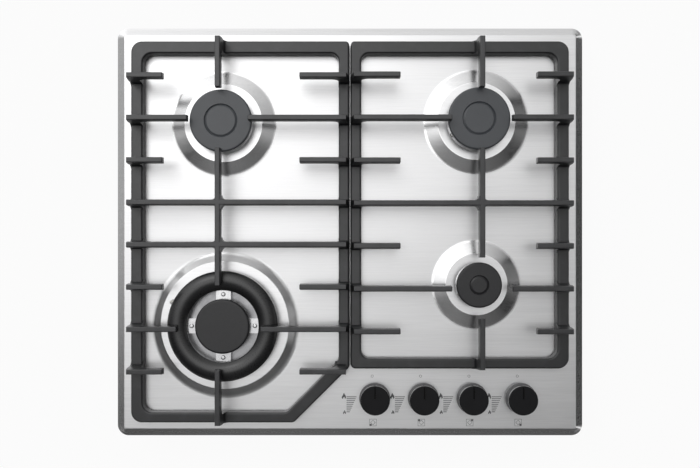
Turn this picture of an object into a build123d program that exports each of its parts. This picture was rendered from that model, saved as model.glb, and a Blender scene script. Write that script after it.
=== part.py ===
from build123d import *

import os
from collections import namedtuple
from math import cos, radians, sin

# Built-in gas cooktop with four burners and two cast-iron pan supports, in millimetres.
# The origin is the middle of the bottom tray's underside. X runs right, Y to the rear, Z up.

# Worktop cut-out, which the rim overlaps, and how deep the hob hangs below the worktop
rim_overlap_x = 10.0
rim_overlap_y = 14.0
cutout_gap = 4.0
built_in_depth = 46.0

# Pressed stainless plate with a bevelled rim
plate_width = 580.0
plate_depth = 508.0
sheet = 1.0
rim_gap = 0.5
bevel_width = 10.3
bevel_drop = 6.5
panel_corner_r = 3.2
platform_rise = 6.0
press_r = 1.6
press_foot_r = 10.0

# Foam seal between the rim and the worktop
seal_gap = 0.4
seal_height = 4.4
seal_overlap = 0.6

# Bottom tray
tray_sheet = 1.0
tray_corner_r = 12.0
tray_edge_r = 3.0
rib_width = 16.0
rib_length = 300.0
rib_rise = 2.5
rib_pitch = 60.0
rib_rows = 3
vent_length = 34.0
vent_width = 5.0
vent_pitch = 14.0
vent_count = 6
clamp_hole_r = 2.25
clamp_inset = 14.0
clamp_spacing_y = 300.0

# Angle brackets under the plate, which the tray is screwed to
bracket_width = 16.0
bracket_leg = 14.0
bracket_drop = 18.0
bracket_sheet = 1.5
bracket_hole_r = 2.0
case_screw_r = 1.9
case_head_r = 3.6
case_head_height = 2.0
case_screw_drop = 11.0
bracket_side_y = 150.0
bracket_front_x = 190.0

# Burner places
burner_x = 156.0
rear_left_y = 133.6
rear_right_y = 136.2
wok_x = -154.2
aux_y = -65.0
wok_y = -115.0

# Raised platforms of the plate
rear_base_r = 64.0
rear_top_r = 48.0
aux_base_r = 54.0
aux_top_r = 38.2
wok_base_r = 88.5
wok_top_r = 79.0

# Caps and crowns, heights from the platform
rear_cap_r = 37.7
rear_groove_r = 20.4
aux_cap_r = 27.5
aux_groove_r = 12.0
crown_height = 14.0
cap_thickness = 6.0
cap_edge_r = 2.0
cap_inset = 7.2
cap_ring_depth = 2.2
cap_ring_wall = 2.0
fit_gap = 0.3
groove_width = 3.2
groove_depth = 1.5
disc_drop = 0.4
crown_wall = 3.0
crown_flange = 5.7
flange_height = 2.4
flange_rim = 1.7
screw_relief = 1.6
skirt_depth = 1.9
skirt_inset = 4.5
throat_drop = 14.0
rear_throat_r = 8.0
aux_throat_r = 6.0
throat_wall = 1.6
slot_width = 1.7
slot_depth = 6.0
rear_slots = 36
aux_slots = 26
crown_lift = 2.2
cap_lift = 2.8

# Wok burner: a flame ring and a hub joined by four bridges
wok_cap_r = 33.0
wok_cap_edge_r = 2.4
ring_cap_outer_r = 67.0
ring_cap_inner_r = 43.6
ring_cap_edge = 2.2
ring_cap_dome = 4.8
ring_wall_outer_r = 60.5
ring_wall_inner_r = 46.5
ring_flange_r = 64.5
ring_floor = 3.0
hub_wall_r = 28.5
wok_flange_r = 65.5
wok_flange_height = 2.5
wok_hole_r = 58.5
wok_cup_r = 54.0
bridge_width = 18.0
bridge_top = 10.5
bridge_screw_r = 38.5
bridge_head_r = 2.7
bridge_head_height = 1.7
bridge_shank_r = 1.5
ring_slots = 56
hub_slots = 28

# Burner cups under the plate
cup_bottom_z = 18.0
cup_wall = 2.5
cup_floor = 3.0
cup_flange_height = 2.5
port_reach = 10.0
port_r = 7.0
cup_screw_r = 1.45
cup_head_r = 2.8
cup_head_height = 1.3
cup_screw_length = 6.0
cup_screw_gap = 0.25

# Injectors
jet_hex_r = 4.5
jet_hex_height = 4.0
jet_nose_r = 2.6
jet_nose_height = 6.0
jet_bore_r = 0.5

# Ignition electrodes
ceramic_r = 2.6
ceramic_below = 14.0
ceramic_above = 8.0
pin_r = 0.9
pin_above = 12.0
electrode_hole_gap = 0.6
electrode_inset = 2.2
electrode_angle = 210.0
wok_electrode_r = 69.5
wok_electrode_angle = 156.0
wok_pin_reach = 3.5

# Knobs in a row along the front, and how they move
knob_first_x = 30.5
knob_pitch = 60.0
knob_y = -205.6
knob_travel = 3.5
knob_gap = 4.0
knob_top = 20.8
knob_cap_r = 18.0
knob_flange_r = 19.1
knob_waist_r = 16.1
knob_waist_z = 11.5
knob_flange_height = 1.5
knob_cap_z = 17.8
knob_edge_r = 1.6
knob_shell = 1.8
knob_hub_r = 6.5
knob_hub_lift = 2.6
knob_roof = 3.3
pointer_width = 2.0
pointer_inner = 1.5
pointer_outer = 16.6
pointer_depth = 0.8

# Taps, their spindles and push collars
spindle_r = 4.0
spindle_flat = 3.0
spindle_fit = 0.06
shoulder_r = 5.4
shoulder_height = 0.9
collar_r = 7.0
collar_height = 3.0
collar_arm = 17.0
collar_arm_width = 5.0
tap_width = 20.0
tap_depth = 22.0
tap_bottom_z = 14.0
tap_height = 28.0
tap_corner_r = 3.0
tap_boss_r = 9.0
tap_boss_height = 2.0
tap_ear_width = 10.0
tap_ear_depth = 36.0
tap_ear_height = 4.0
tap_screw_reach = 14.5
tap_screw_r = 1.5
tap_head_r = 2.9
tap_head_height = 1.0
tap_bore_depth = 16.0
outlet_reach = 6.0
outlet_r = 6.0
support_sheet = 1.5
support_width = 44.0
support_end = 26.0
support_flange = 9.0
panel_hole_r = 6.2
seal_ring_r = 9.0
seal_ring_height = 2.0
seal_ring_gap = 0.35

# Ignition switches
switch_width = 9.0
switch_depth = 18.0
switch_height = 10.0
switch_gap = 0.8
plunger_r = 1.2
plunger_gap = 0.3
plunger_hole_gap = 0.5

# Gas rail, inlet and feed pipes
pipe_z = 26.0
rail_r = 8.0
rail_wall = 1.5
rail_back = 20.5
rail_start_x = 8.0
rail_riser_inset = 28.0
rail_bend_r = 24.0
rail_end_y = 192.0
end_stop_length = 3.0
spigot_r = 5.0
spigot_gap = 0.1
spigot_reach = 16.5
feed_r = 4.0
feed_wall = 0.8
feed_bend_r = 15.0
feed_gap = 0.1
feed_insert = 4.0
nut_flats = 14.0
nut_length = 8.0
inlet_thread_r = 10.478
inlet_thread_length = 14.0
inlet_end_z = 2.0
inlet_hex_flats = 26.0
inlet_hex_height = 4.0
inlet_bore_r = 7.0
inlet_body_r = 9.9
inlet_opening_r = 20.0
inlet_socket = 12.0
rear_left_lane_y = 60.0
rear_right_lane_x = 112.0
rear_right_jog_y = -150.0

# Mains connection and ignition module
module_x = 0.0
module_y = 200.0
module_width = 80.0
module_depth = 34.0
module_height = 22.0
module_corner_r = 3.0
module_ear = 9.0
module_ear_height = 3.0
tower_r = 4.0
tower_height = 6.0
tower_pitch = 16.0
floor_screw_r = 1.8
floor_head_r = 3.4
floor_head_height = 1.8
gland_x = -100.0
gland_z = 24.0
gland_bore_r = 4.2
gland_body_r = 7.0
gland_flange_r = 9.5
gland_flange = 2.6
gland_inside = 12.0
terminal_width = 34.0
terminal_depth = 18.0
terminal_height = 14.0
terminal_y = 200.0
terminal_poles = 3
terminal_pitch = 9.0
terminal_hole_r = 2.0

# High-voltage leads from the module's towers to the electrodes
lead_r = 2.0
lead_bend_r = 6.0
lead_floor_gap = 0.2
lead_hop_z = 40.0
lead_near_y = 170.0
lead_far_y = 178.0
lead_left_x = -202.0
lead_wok_inset = 41.0
lead_right_x = 165.0

# Pan supports
support_clearance = 11.2
seam_gap = 1.0
grate_rear_y = 233.4
spine_x = 157.3
left_front_y = -234.3
right_front_y = -168.3
diagonal_y = -166.4
bar_width = 13.5
side_bar_width = 15.2
rear_bar_width = 15.9
diagonal_bar_width = 16.0
bar_height = 10.0
bar_draft = 4.0
bar_edge_r = 2.0
foot_height = 3.5
far_corner_r = 14.0
seam_corner_r = 5.0
diagonal_corner_r = 8.0
far_inner_r = 11.5
seam_inner_r = 10.0
front_corner_r = 6.0
left_first_y = 185.0
left_pitch = 50.3
right_first_y = 185.9
right_pitch = 50.9
finger_top = 41.5
finger_depth = 9.0
finger_top_width = 6.0
finger_base_width = 7.6
finger_edge_r = 1.1
end_setback = 3.4
rear_setback = 2.2
seam_setback = 4.4
leg_root_width = 16.4
leg_flare_r = 15.0
leg_fillet_r = 9.0
leg_root = 4.0
stub_outer = 46.0
stub_inner = 59.5
rear_gap_y = 135.0
aux_gap_y = -67.6
pot_gap_r = 36.0
wok_gap_r = 50.0
tip_r = 1.0
cross_fillet_r = 5.0
foot_r = 4.6
foot_plug_r = 2.2
foot_plug_height = 4.0
foot_plug_gap = 0.05

# Worked out from the sizes above
rim_z = built_in_depth + rim_gap
panel_z = rim_z + bevel_drop
under_z = panel_z - sheet
platform_z = panel_z + platform_rise
platform_under_z = platform_z - sheet
panel_width = plate_width - 2 * bevel_width
panel_depth = plate_depth - 2 * bevel_width
cutout_width = plate_width - 2 * rim_overlap_x
cutout_depth = plate_depth - 2 * rim_overlap_y
tray_width = cutout_width - 2 * cutout_gap
tray_depth = cutout_depth - 2 * cutout_gap
rail_riser_x = tray_width / 2 - rail_riser_inset
lead_wok_x = lead_wok_inset - tray_width / 2
knob_xs = [knob_first_x + i * knob_pitch for i in range(4)]
knob_names = ["front_left", "rear_left", "rear_right", "front_right"]

Burner = namedtuple("Burner", "x y base_r top_r cap_r groove_r throat_r slots")
small_burners = {
    "rear_left": Burner(-burner_x, rear_left_y, rear_base_r, rear_top_r, rear_cap_r,
                        rear_groove_r, rear_throat_r, rear_slots),
    "rear_right": Burner(burner_x, rear_right_y, rear_base_r, rear_top_r, rear_cap_r,
                         rear_groove_r, rear_throat_r, rear_slots),
    "front_right": Burner(burner_x, aux_y, aux_base_r, aux_top_r, aux_cap_r,
                          aux_groove_r, aux_throat_r, aux_slots),
}
platforms = [(b.x, b.y, b.base_r, b.top_r) for b in small_burners.values()]
platforms.append((wok_x, wok_y, wok_base_r, wok_top_r))

os.makedirs("parts", exist_ok=True)


def upright(x, y, z):
    """A plane that stands on (x, y, z), with its own X along X and its own Y up."""
    return Plane(origin=(x, y, z), x_dir=(1, 0, 0), z_dir=(0, -1, 0))


def level(x, y, z):
    """A level plane through (x, y, z)."""
    return Plane(origin=(x, y, z))


def standing_axis(x, y):
    return Axis((x, y, 0), (0, 0, 1))


def around(x, y, radius, angle):
    """The point at this radius and angle, in degrees, from (x, y)."""
    return x + radius * cos(radians(angle)), y + radius * sin(radians(angle))


def keep(part, label):
    part.label = label
    export_step(part, f"parts/{label}.step")


# ---------------------------------------------------------------- sheet-metal body


def pressed_form(drop):
    """The plate's outer form, lowered by drop, with rounded platform edges and wide feet."""
    with BuildPart() as form:
        with BuildSketch(level(0, 0, rim_z - drop)):
            RectangleRounded(plate_width, plate_depth, panel_corner_r + bevel_width)
        with BuildSketch(level(0, 0, panel_z - drop)):
            RectangleRounded(panel_width, panel_depth, panel_corner_r)
        loft()
        for x, y, base_r, top_r in platforms:
            with BuildSketch(upright(x, y, panel_z - drop)):
                Polygon((0, -sheet), (base_r, -sheet), (base_r, 0), (top_r, platform_rise),
                        (0, platform_rise), align=None)
            revolve(axis=standing_axis(x, y))
        rings = form.edges().filter_by(GeomType.CIRCLE)
        tops = rings.filter_by(lambda e: abs(e.center().Z - (platform_z - drop)) < sheet / 2)
        bases = rings.filter_by(
            lambda e: abs(e.center().Z - (panel_z - drop)) < sheet / 2 and e.radius > aux_top_r
        )
        fillet(bases, press_foot_r)
        fillet(tops, press_r)
    return form.part


with BuildPart() as hob_plate:
    add(pressed_form(0))
    add(pressed_form(sheet), mode=Mode.SUBTRACT)
    for burner in small_burners.values():
        skirt_r = burner.cap_r - cap_inset - skirt_inset
        flange_r = burner.cap_r - cap_inset + crown_flange
        with BuildSketch(level(burner.x, burner.y, panel_z)):
            Circle(skirt_r + fit_gap)
            with PolarLocations((skirt_r + flange_r) / 2, 3, start_angle=30):
                Circle(cup_screw_r + cup_screw_gap)
            with PolarLocations(flange_r - electrode_inset, 1, start_angle=electrode_angle):
                Circle(ceramic_r + electrode_hole_gap)
        extrude(amount=2 * platform_rise, both=True, mode=Mode.SUBTRACT)
    with BuildSketch(level(wok_x, wok_y, panel_z)):
        Circle(wok_hole_r)
        with PolarLocations((wok_hole_r + wok_flange_r) / 2, 4, start_angle=45):
            Circle(cup_screw_r + cup_screw_gap)
        with PolarLocations(wok_electrode_r, 1, start_angle=wok_electrode_angle):
            Circle(ceramic_r + electrode_hole_gap)
    extrude(amount=2 * platform_rise, both=True, mode=Mode.SUBTRACT)
    with BuildSketch(level(0, 0, panel_z)):
        with Locations([(x, knob_y) for x in knob_xs]):
            Circle(panel_hole_r)
    extrude(amount=2 * sheet, both=True, mode=Mode.SUBTRACT)
keep(hob_plate.part, "hob_plate")

rim_slope = bevel_width / bevel_drop
seal_foot_half = plate_width / 2 - (sheet - rim_gap) * rim_slope - seal_gap
seal_outer_width = 2 * seal_foot_half
seal_outer_depth = seal_outer_width - plate_width + plate_depth
seal_top_inset = seal_height * rim_slope
seal_inner_width = cutout_width + 2 * seal_overlap
seal_inner_depth = seal_inner_width - plate_width + plate_depth
with BuildPart() as worktop_seal:
    with BuildSketch(level(0, 0, built_in_depth)):
        RectangleRounded(seal_outer_width, seal_outer_depth, panel_corner_r + bevel_width)
    with BuildSketch(level(0, 0, built_in_depth + seal_height)):
        RectangleRounded(seal_outer_width - 2 * seal_top_inset,
                         seal_outer_depth - 2 * seal_top_inset, panel_corner_r)
    loft()
    with BuildSketch(level(0, 0, built_in_depth)):
        RectangleRounded(seal_inner_width, seal_inner_depth, panel_corner_r)
    extrude(amount=seal_height, mode=Mode.SUBTRACT)
keep(worktop_seal.part, "worktop_seal")

wall_inner_x = tray_width / 2 - tray_sheet
wall_inner_y = tray_depth / 2 - tray_sheet
bracket_spots = [(sign * wall_inner_x, y, 90 * (1 - sign)) for sign in (1, -1)
                 for y in (-bracket_side_y, bracket_side_y)]
bracket_spots += [(x, sign * wall_inner_y, 90 * sign) for sign in (1, -1)
                  for x in (-bracket_front_x, bracket_front_x)]
bracket_places = [Location((x, y, under_z), (0, 0, angle)) for x, y, angle in bracket_spots]
with BuildPart() as bracket_blank:
    with BuildSketch(Plane.XZ):
        Polygon((0, 0), (-bracket_leg, 0), (-bracket_leg, -bracket_sheet),
                (-bracket_sheet, -bracket_sheet), (-bracket_sheet, -bracket_drop),
                (0, -bracket_drop), align=None)
    extrude(amount=bracket_width / 2, both=True)
    with BuildSketch(Plane.YZ):
        with Locations((0, -case_screw_drop)):
            Circle(bracket_hole_r)
    extrude(amount=-bracket_leg, mode=Mode.SUBTRACT)
with BuildPart() as case_screw_blank:
    with BuildSketch(Plane.YZ.offset(tray_sheet)):
        with Locations((0, -case_screw_drop)):
            Circle(case_head_r)
    extrude(amount=case_head_height)
    chamfer(case_screw_blank.faces().sort_by(Axis.X)[-1].edges(), case_head_height / 3)
    with BuildSketch(Plane.YZ.offset(tray_sheet)):
        with Locations((0, -case_screw_drop)):
            Circle(case_screw_r)
    extrude(amount=-(tray_sheet + 2 * bracket_sheet))
with BuildPart() as plate_brackets:
    with Locations(*bracket_places):
        add(bracket_blank.part)
keep(plate_brackets.part, "plate_brackets")
with BuildPart() as case_screws:
    with Locations(*bracket_places):
        add(case_screw_blank.part)
keep(case_screws.part, "case_screws")

module_screw_reach = (module_width + module_ear) / 2
with BuildPart() as bottom_tray:
    with BuildSketch():
        RectangleRounded(tray_width, tray_depth, tray_corner_r)
    extrude(amount=under_z)
    fillet(bottom_tray.faces().sort_by(Axis.Z)[0].edges(), tray_edge_r)
    offset(amount=-tray_sheet, openings=bottom_tray.faces().sort_by(Axis.Z)[-1])
    with BuildSketch():
        with GridLocations(0, rib_pitch, 1, rib_rows):
            SlotOverall(rib_length, rib_width)
    extrude(amount=rib_rise + tray_sheet)
    with BuildSketch():
        with GridLocations(0, rib_pitch, 1, rib_rows):
            SlotOverall(rib_length - 2 * tray_sheet, rib_width - 2 * tray_sheet)
    extrude(amount=rib_rise, mode=Mode.SUBTRACT)
    with BuildSketch():
        with Locations((rail_riser_x, rail_end_y + inlet_socket)):
            Circle(inlet_opening_r)
        with GridLocations(tray_width - 2 * clamp_inset, clamp_spacing_y, 2, 2):
            Circle(clamp_hole_r)
        with Locations((knob_first_x + 1.5 * knob_pitch, -rib_pitch * rib_rows / 2 - vent_length)):
            with GridLocations(vent_pitch, 0, vent_count, 1):
                SlotOverall(vent_length, vent_width, rotation=90)
        with Locations((module_x, module_y)):
            with GridLocations(2 * module_screw_reach, 0, 2, 1):
                Circle(floor_screw_r)
        with Locations((gland_x, terminal_y)):
            Circle(floor_screw_r)
    extrude(amount=tray_edge_r, mode=Mode.SUBTRACT)
    with BuildSketch(upright(gland_x, tray_depth / 2, gland_z)):
        Circle(gland_body_r + fit_gap)
    extrude(amount=2 * tray_sheet, both=True, mode=Mode.SUBTRACT)
    for place in bracket_places:
        with BuildSketch(Plane(place * Location(Plane.YZ))):
            with Locations((0, -case_screw_drop)):
                Circle(case_screw_r + fit_gap)
        extrude(amount=2 * tray_sheet, both=True, mode=Mode.SUBTRACT)
keep(bottom_tray.part, "bottom_tray")

# ---------------------------------------------------------------- small burners


def make_crown(burner):
    """Slotted flame crown: throat, bowl, flange on the plate and a toothed wall."""
    wall_r = burner.cap_r - cap_inset
    flange_r = wall_r + crown_flange
    skirt_r = wall_r - skirt_inset
    bowl_r = wall_r - crown_wall
    throat_r = burner.throat_r
    with BuildPart() as crown:
        with BuildSketch(upright(burner.x, burner.y, platform_z)):
            Polygon(
                (throat_r, -throat_drop),
                (throat_r + throat_wall, -throat_drop),
                (throat_r + throat_wall, screw_relief),
                (skirt_r - throat_wall, screw_relief),
                (skirt_r - throat_wall, -skirt_depth),
                (skirt_r, -skirt_depth),
                (skirt_r, 0),
                (skirt_r + flange_rim, 0),
                (skirt_r + flange_rim, screw_relief),
                (flange_r - flange_rim, screw_relief),
                (flange_r - flange_rim, 0),
                (flange_r, 0),
                (flange_r, flange_height),
                (wall_r, flange_height + flange_rim),
                (wall_r, crown_height),
                (bowl_r, crown_height),
                (bowl_r, flange_height + throat_wall),
                (throat_r + 2 * throat_wall, flange_height + throat_wall),
                (throat_r + throat_wall, slot_depth),
                (throat_r, slot_depth),
                align=None,
            )
        revolve(axis=standing_axis(burner.x, burner.y))
        with BuildSketch(level(burner.x, burner.y, platform_z + crown_height)):
            with PolarLocations(wall_r - crown_wall / 2, burner.slots):
                Rectangle(2 * crown_wall, slot_width)
        extrude(amount=-slot_depth, mode=Mode.SUBTRACT)
        with BuildSketch(level(burner.x, burner.y, platform_z)):
            with PolarLocations(flange_r - electrode_inset, 1, start_angle=electrode_angle):
                Circle(ceramic_r + electrode_hole_gap)
        extrude(amount=flange_height + flange_rim, mode=Mode.SUBTRACT)
    return crown.part


def make_cap(burner):
    """Enamelled cap: rounded rim, a groove round a slightly lower disc, a locating ring below."""
    top = crown_height + cap_thickness
    ring_r = burner.cap_r - cap_inset - crown_wall - fit_gap
    groove_r = burner.groove_r
    with BuildPart() as cap:
        with BuildSketch(upright(burner.x, burner.y, platform_z)) as section:
            Polygon(
                (0, crown_height + cap_ring_wall),
                (ring_r - cap_ring_wall, crown_height + cap_ring_wall),
                (ring_r - cap_ring_wall, crown_height - cap_ring_depth),
                (ring_r, crown_height - cap_ring_depth),
                (ring_r, crown_height),
                (burner.cap_r - cap_edge_r / 2, crown_height),
                (burner.cap_r, crown_height + cap_edge_r / 2),
                (burner.cap_r, top),
                (groove_r, top),
                (groove_r - groove_width / 3, top - groove_depth),
                (groove_r - groove_width, top - disc_drop),
                (0, top - disc_drop),
                align=None,
            )
            fillet(section.vertices().sort_by_distance((burner.cap_r, top))[0], cap_edge_r)
        revolve(axis=standing_axis(burner.x, burner.y))
    return cap.part


def make_cup(burner, port_angle):
    """Die-cast cup under the plate, with the pipe port on one side."""
    wall_r = burner.cap_r - cap_inset
    flange_r = wall_r + crown_flange
    bore_r = wall_r - skirt_inset + fit_gap
    body_r = bore_r + cup_wall
    with BuildPart() as cup:
        with BuildSketch(upright(burner.x, burner.y, 0)):
            Polygon(
                (0, cup_bottom_z),
                (body_r, cup_bottom_z),
                (body_r, platform_under_z - cup_flange_height),
                (flange_r, platform_under_z - cup_flange_height),
                (flange_r, platform_under_z),
                (0, platform_under_z),
                align=None,
            )
        revolve(axis=standing_axis(burner.x, burner.y))
        port_x, port_y = around(burner.x, burner.y, body_r + port_reach, port_angle)
        port_plane = Plane(origin=(port_x, port_y, pipe_z),
                           z_dir=(cos(radians(port_angle)), sin(radians(port_angle)), 0))
        with BuildSketch(port_plane):
            Circle(port_r)
        extrude(amount=-(port_reach + cup_wall))
        with BuildSketch(level(burner.x, burner.y, cup_bottom_z + cup_floor)):
            Circle(bore_r)
        extrude(until=Until.LAST, mode=Mode.SUBTRACT)
        with BuildSketch(port_plane):
            Circle(feed_r + feed_gap)
        extrude(amount=-(port_reach + 2 * cup_wall), mode=Mode.SUBTRACT)
        with BuildSketch(level(burner.x, burner.y, platform_under_z)):
            with PolarLocations((wall_r - skirt_inset + flange_r) / 2, 3, start_angle=30):
                Circle(cup_screw_r)
            with PolarLocations(flange_r - electrode_inset, 1, start_angle=electrode_angle):
                Circle(ceramic_r)
        extrude(amount=-cup_flange_height, mode=Mode.SUBTRACT)
    return cup.part


port_angles = {"rear_left": -90, "rear_right": -90, "front_right": 0}
for place, burner in small_burners.items():
    keep(make_crown(burner), f"crown_{place}")
    keep(make_cap(burner), f"cap_{place}")
    keep(make_cup(burner, port_angles[place]), f"cup_{place}")

# ---------------------------------------------------------------- wok burner

wok_base_z = platform_z + wok_flange_height
wok_bore_r = wok_cup_r - cup_wall
with BuildPart() as cup_front_left:
    with BuildSketch(upright(wok_x, wok_y, 0)):
        Polygon(
            (0, cup_bottom_z),
            (wok_cup_r, cup_bottom_z),
            (wok_cup_r, platform_z),
            (wok_flange_r, platform_z),
            (wok_flange_r, wok_base_z),
            (0, wok_base_z),
            align=None,
        )
    revolve(axis=standing_axis(wok_x, wok_y))
    wok_port = Plane(origin=(wok_x + wok_cup_r + port_reach, wok_y, pipe_z), z_dir=(1, 0, 0))
    with BuildSketch(wok_port):
        Circle(port_r)
    extrude(amount=-(port_reach + cup_wall))
    with BuildSketch(upright(wok_x, wok_y, 0)):
        Polygon(
            (0, cup_bottom_z + cup_floor),
            (wok_bore_r, cup_bottom_z + cup_floor),
            (wok_bore_r, platform_z),
            (0, platform_z),
            align=None,
        )
    revolve(axis=standing_axis(wok_x, wok_y), mode=Mode.SUBTRACT)
    with BuildSketch(wok_port):
        Circle(feed_r + feed_gap)
    extrude(amount=-(port_reach + 2 * cup_wall), mode=Mode.SUBTRACT)
    with BuildSketch(level(wok_x, wok_y, wok_base_z)):
        Circle(rear_throat_r + throat_wall + fit_gap)
    extrude(amount=-2 * wok_flange_height, mode=Mode.SUBTRACT)
    with BuildSketch(level(wok_x, wok_y, wok_base_z)):
        with PolarLocations((wok_hole_r + wok_flange_r) / 2, 4, start_angle=45):
            Circle(cup_head_r + cup_screw_gap)
    extrude(amount=-(cup_head_height + cup_screw_gap), mode=Mode.SUBTRACT)
    with BuildSketch(level(wok_x, wok_y, wok_base_z)):
        with PolarLocations((wok_hole_r + wok_flange_r) / 2, 4, start_angle=45):
            Circle(cup_screw_r + cup_screw_gap)
    extrude(amount=-wok_flange_height, mode=Mode.SUBTRACT)
keep(cup_front_left.part, "cup_front_left")

crown_top_z = platform_z + crown_height
with BuildPart() as crown_front_left:
    with BuildSketch(upright(wok_x, wok_y, wok_base_z)):
        Polygon(
            (ring_wall_inner_r, 0),
            (ring_flange_r, 0),
            (ring_flange_r, throat_wall),
            (ring_wall_outer_r, ring_floor),
            (ring_wall_outer_r, crown_height - wok_flange_height),
            (ring_wall_outer_r - crown_wall, crown_height - wok_flange_height),
            (ring_wall_outer_r - crown_wall, ring_floor),
            (ring_wall_inner_r + crown_wall, ring_floor),
            (ring_wall_inner_r + crown_wall, crown_height - wok_flange_height),
            (ring_wall_inner_r, crown_height - wok_flange_height),
            align=None,
        )
    revolve(axis=standing_axis(wok_x, wok_y))
    with BuildSketch(upright(wok_x, wok_y, wok_base_z)):
        Polygon(
            (rear_throat_r, -skirt_depth),
            (rear_throat_r + throat_wall, -skirt_depth),
            (rear_throat_r + throat_wall, 0),
            (hub_wall_r, 0),
            (hub_wall_r, crown_height - wok_flange_height),
            (hub_wall_r - crown_wall, crown_height - wok_flange_height),
            (hub_wall_r - crown_wall, ring_floor),
            (rear_throat_r + 2 * throat_wall, ring_floor),
            (rear_throat_r + throat_wall, ring_floor + throat_wall),
            (rear_throat_r, ring_floor + throat_wall),
            align=None,
        )
    revolve(axis=standing_axis(wok_x, wok_y))
    bridge_middle_r = (hub_wall_r + ring_wall_inner_r) / 2
    bridge_reach = ring_wall_inner_r - hub_wall_r + 2 * throat_wall
    with BuildSketch(level(wok_x, wok_y, wok_base_z)):
        with PolarLocations(bridge_middle_r, 4):
            Rectangle(bridge_reach, bridge_width)
    extrude(amount=bridge_top - wok_flange_height)
    with BuildSketch(level(wok_x, wok_y, crown_top_z)):
        with PolarLocations(ring_wall_outer_r - crown_wall / 2, ring_slots):
            Rectangle(2 * crown_wall, slot_width)
    extrude(amount=-slot_depth, mode=Mode.SUBTRACT)
    for quarter in range(4):
        with BuildSketch(level(wok_x, wok_y, crown_top_z)):
            with PolarLocations(hub_wall_r - crown_wall / 2, hub_slots // 4 - 3,
                                start_angle=90 * quarter + 27, angular_range=36,
                                endpoint=True):
                Rectangle(2 * crown_wall, slot_width)
            with PolarLocations(ring_wall_inner_r + crown_wall / 2, hub_slots // 4,
                                start_angle=90 * quarter + 18, angular_range=54,
                                endpoint=True):
                Rectangle(2 * crown_wall, slot_width)
        extrude(amount=-slot_depth, mode=Mode.SUBTRACT)
    with BuildSketch(level(wok_x, wok_y, platform_z + bridge_top)):
        with PolarLocations(bridge_screw_r, 4):
            Circle(bridge_shank_r + cup_screw_gap)
    extrude(amount=-slot_depth, mode=Mode.SUBTRACT)
keep(crown_front_left.part, "crown_front_left")

with BuildPart() as bridge_screw_blank:
    with BuildSketch(Plane.XY):
        Circle(bridge_head_r)
    extrude(amount=bridge_head_height)
    fillet(bridge_screw_blank.faces().sort_by(Axis.Z)[-1].edges(), bridge_head_height * 0.8)
    with BuildSketch(Plane.XY):
        Circle(bridge_shank_r)
    extrude(amount=-(slot_depth - 1))
with BuildPart() as bridge_screws:
    with Locations(Plane(origin=(wok_x, wok_y, platform_z + bridge_top))):
        with PolarLocations(bridge_screw_r, 4):
            add(bridge_screw_blank.part)
keep(bridge_screws.part, "bridge_screws")

with BuildPart() as cap_front_left_ring:
    dome_foot = crown_height + ring_cap_edge
    dome_middle_r = (ring_cap_outer_r + ring_cap_inner_r) / 2
    rib_outer_r = ring_wall_outer_r - crown_wall - fit_gap
    rib_inner_r = ring_wall_inner_r + crown_wall + fit_gap
    with BuildSketch(upright(wok_x, wok_y, platform_z)):
        with BuildLine():
            Polyline(
                (ring_cap_inner_r, dome_foot),
                (ring_cap_inner_r, crown_height + cap_edge_r / 2),
                (ring_cap_inner_r + cap_edge_r / 2, crown_height),
                (rib_inner_r, crown_height),
                (rib_inner_r, crown_height - cap_ring_depth),
                (rib_inner_r + cap_ring_wall, crown_height - cap_ring_depth),
                (rib_inner_r + cap_ring_wall, crown_height + cap_ring_wall),
                (rib_outer_r - cap_ring_wall, crown_height + cap_ring_wall),
                (rib_outer_r - cap_ring_wall, crown_height - cap_ring_depth),
                (rib_outer_r, crown_height - cap_ring_depth),
                (rib_outer_r, crown_height),
                (ring_cap_outer_r - cap_edge_r / 2, crown_height),
                (ring_cap_outer_r, crown_height + cap_edge_r / 2),
                (ring_cap_outer_r, dome_foot),
            )
            ThreePointArc(
                (ring_cap_outer_r, dome_foot),
                (dome_middle_r, dome_foot + ring_cap_dome),
                (ring_cap_inner_r, dome_foot),
            )
        make_face()
    revolve(axis=standing_axis(wok_x, wok_y))
keep(cap_front_left_ring.part, "cap_front_left_ring")

with BuildPart() as cap_front_left_center:
    hub_ring_r = hub_wall_r - crown_wall - fit_gap
    center_top = crown_height + cap_thickness
    with BuildSketch(upright(wok_x, wok_y, platform_z)) as center_section:
        Polygon(
            (0, crown_height + cap_ring_wall),
            (hub_ring_r - cap_ring_wall, crown_height + cap_ring_wall),
            (hub_ring_r - cap_ring_wall, crown_height - cap_ring_depth),
            (hub_ring_r, crown_height - cap_ring_depth),
            (hub_ring_r, crown_height),
            (wok_cap_r - cap_edge_r / 2, crown_height),
            (wok_cap_r, crown_height + cap_edge_r / 2),
            (wok_cap_r, center_top),
            (0, center_top),
            align=None,
        )
        rim_corner = center_section.vertices().sort_by_distance((wok_cap_r, center_top))[0]
        fillet(rim_corner, wok_cap_edge_r)
    revolve(axis=standing_axis(wok_x, wok_y))
keep(cap_front_left_center.part, "cap_front_left_center")

# ---------------------------------------------------------------- burner fastenings and ignition

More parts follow.
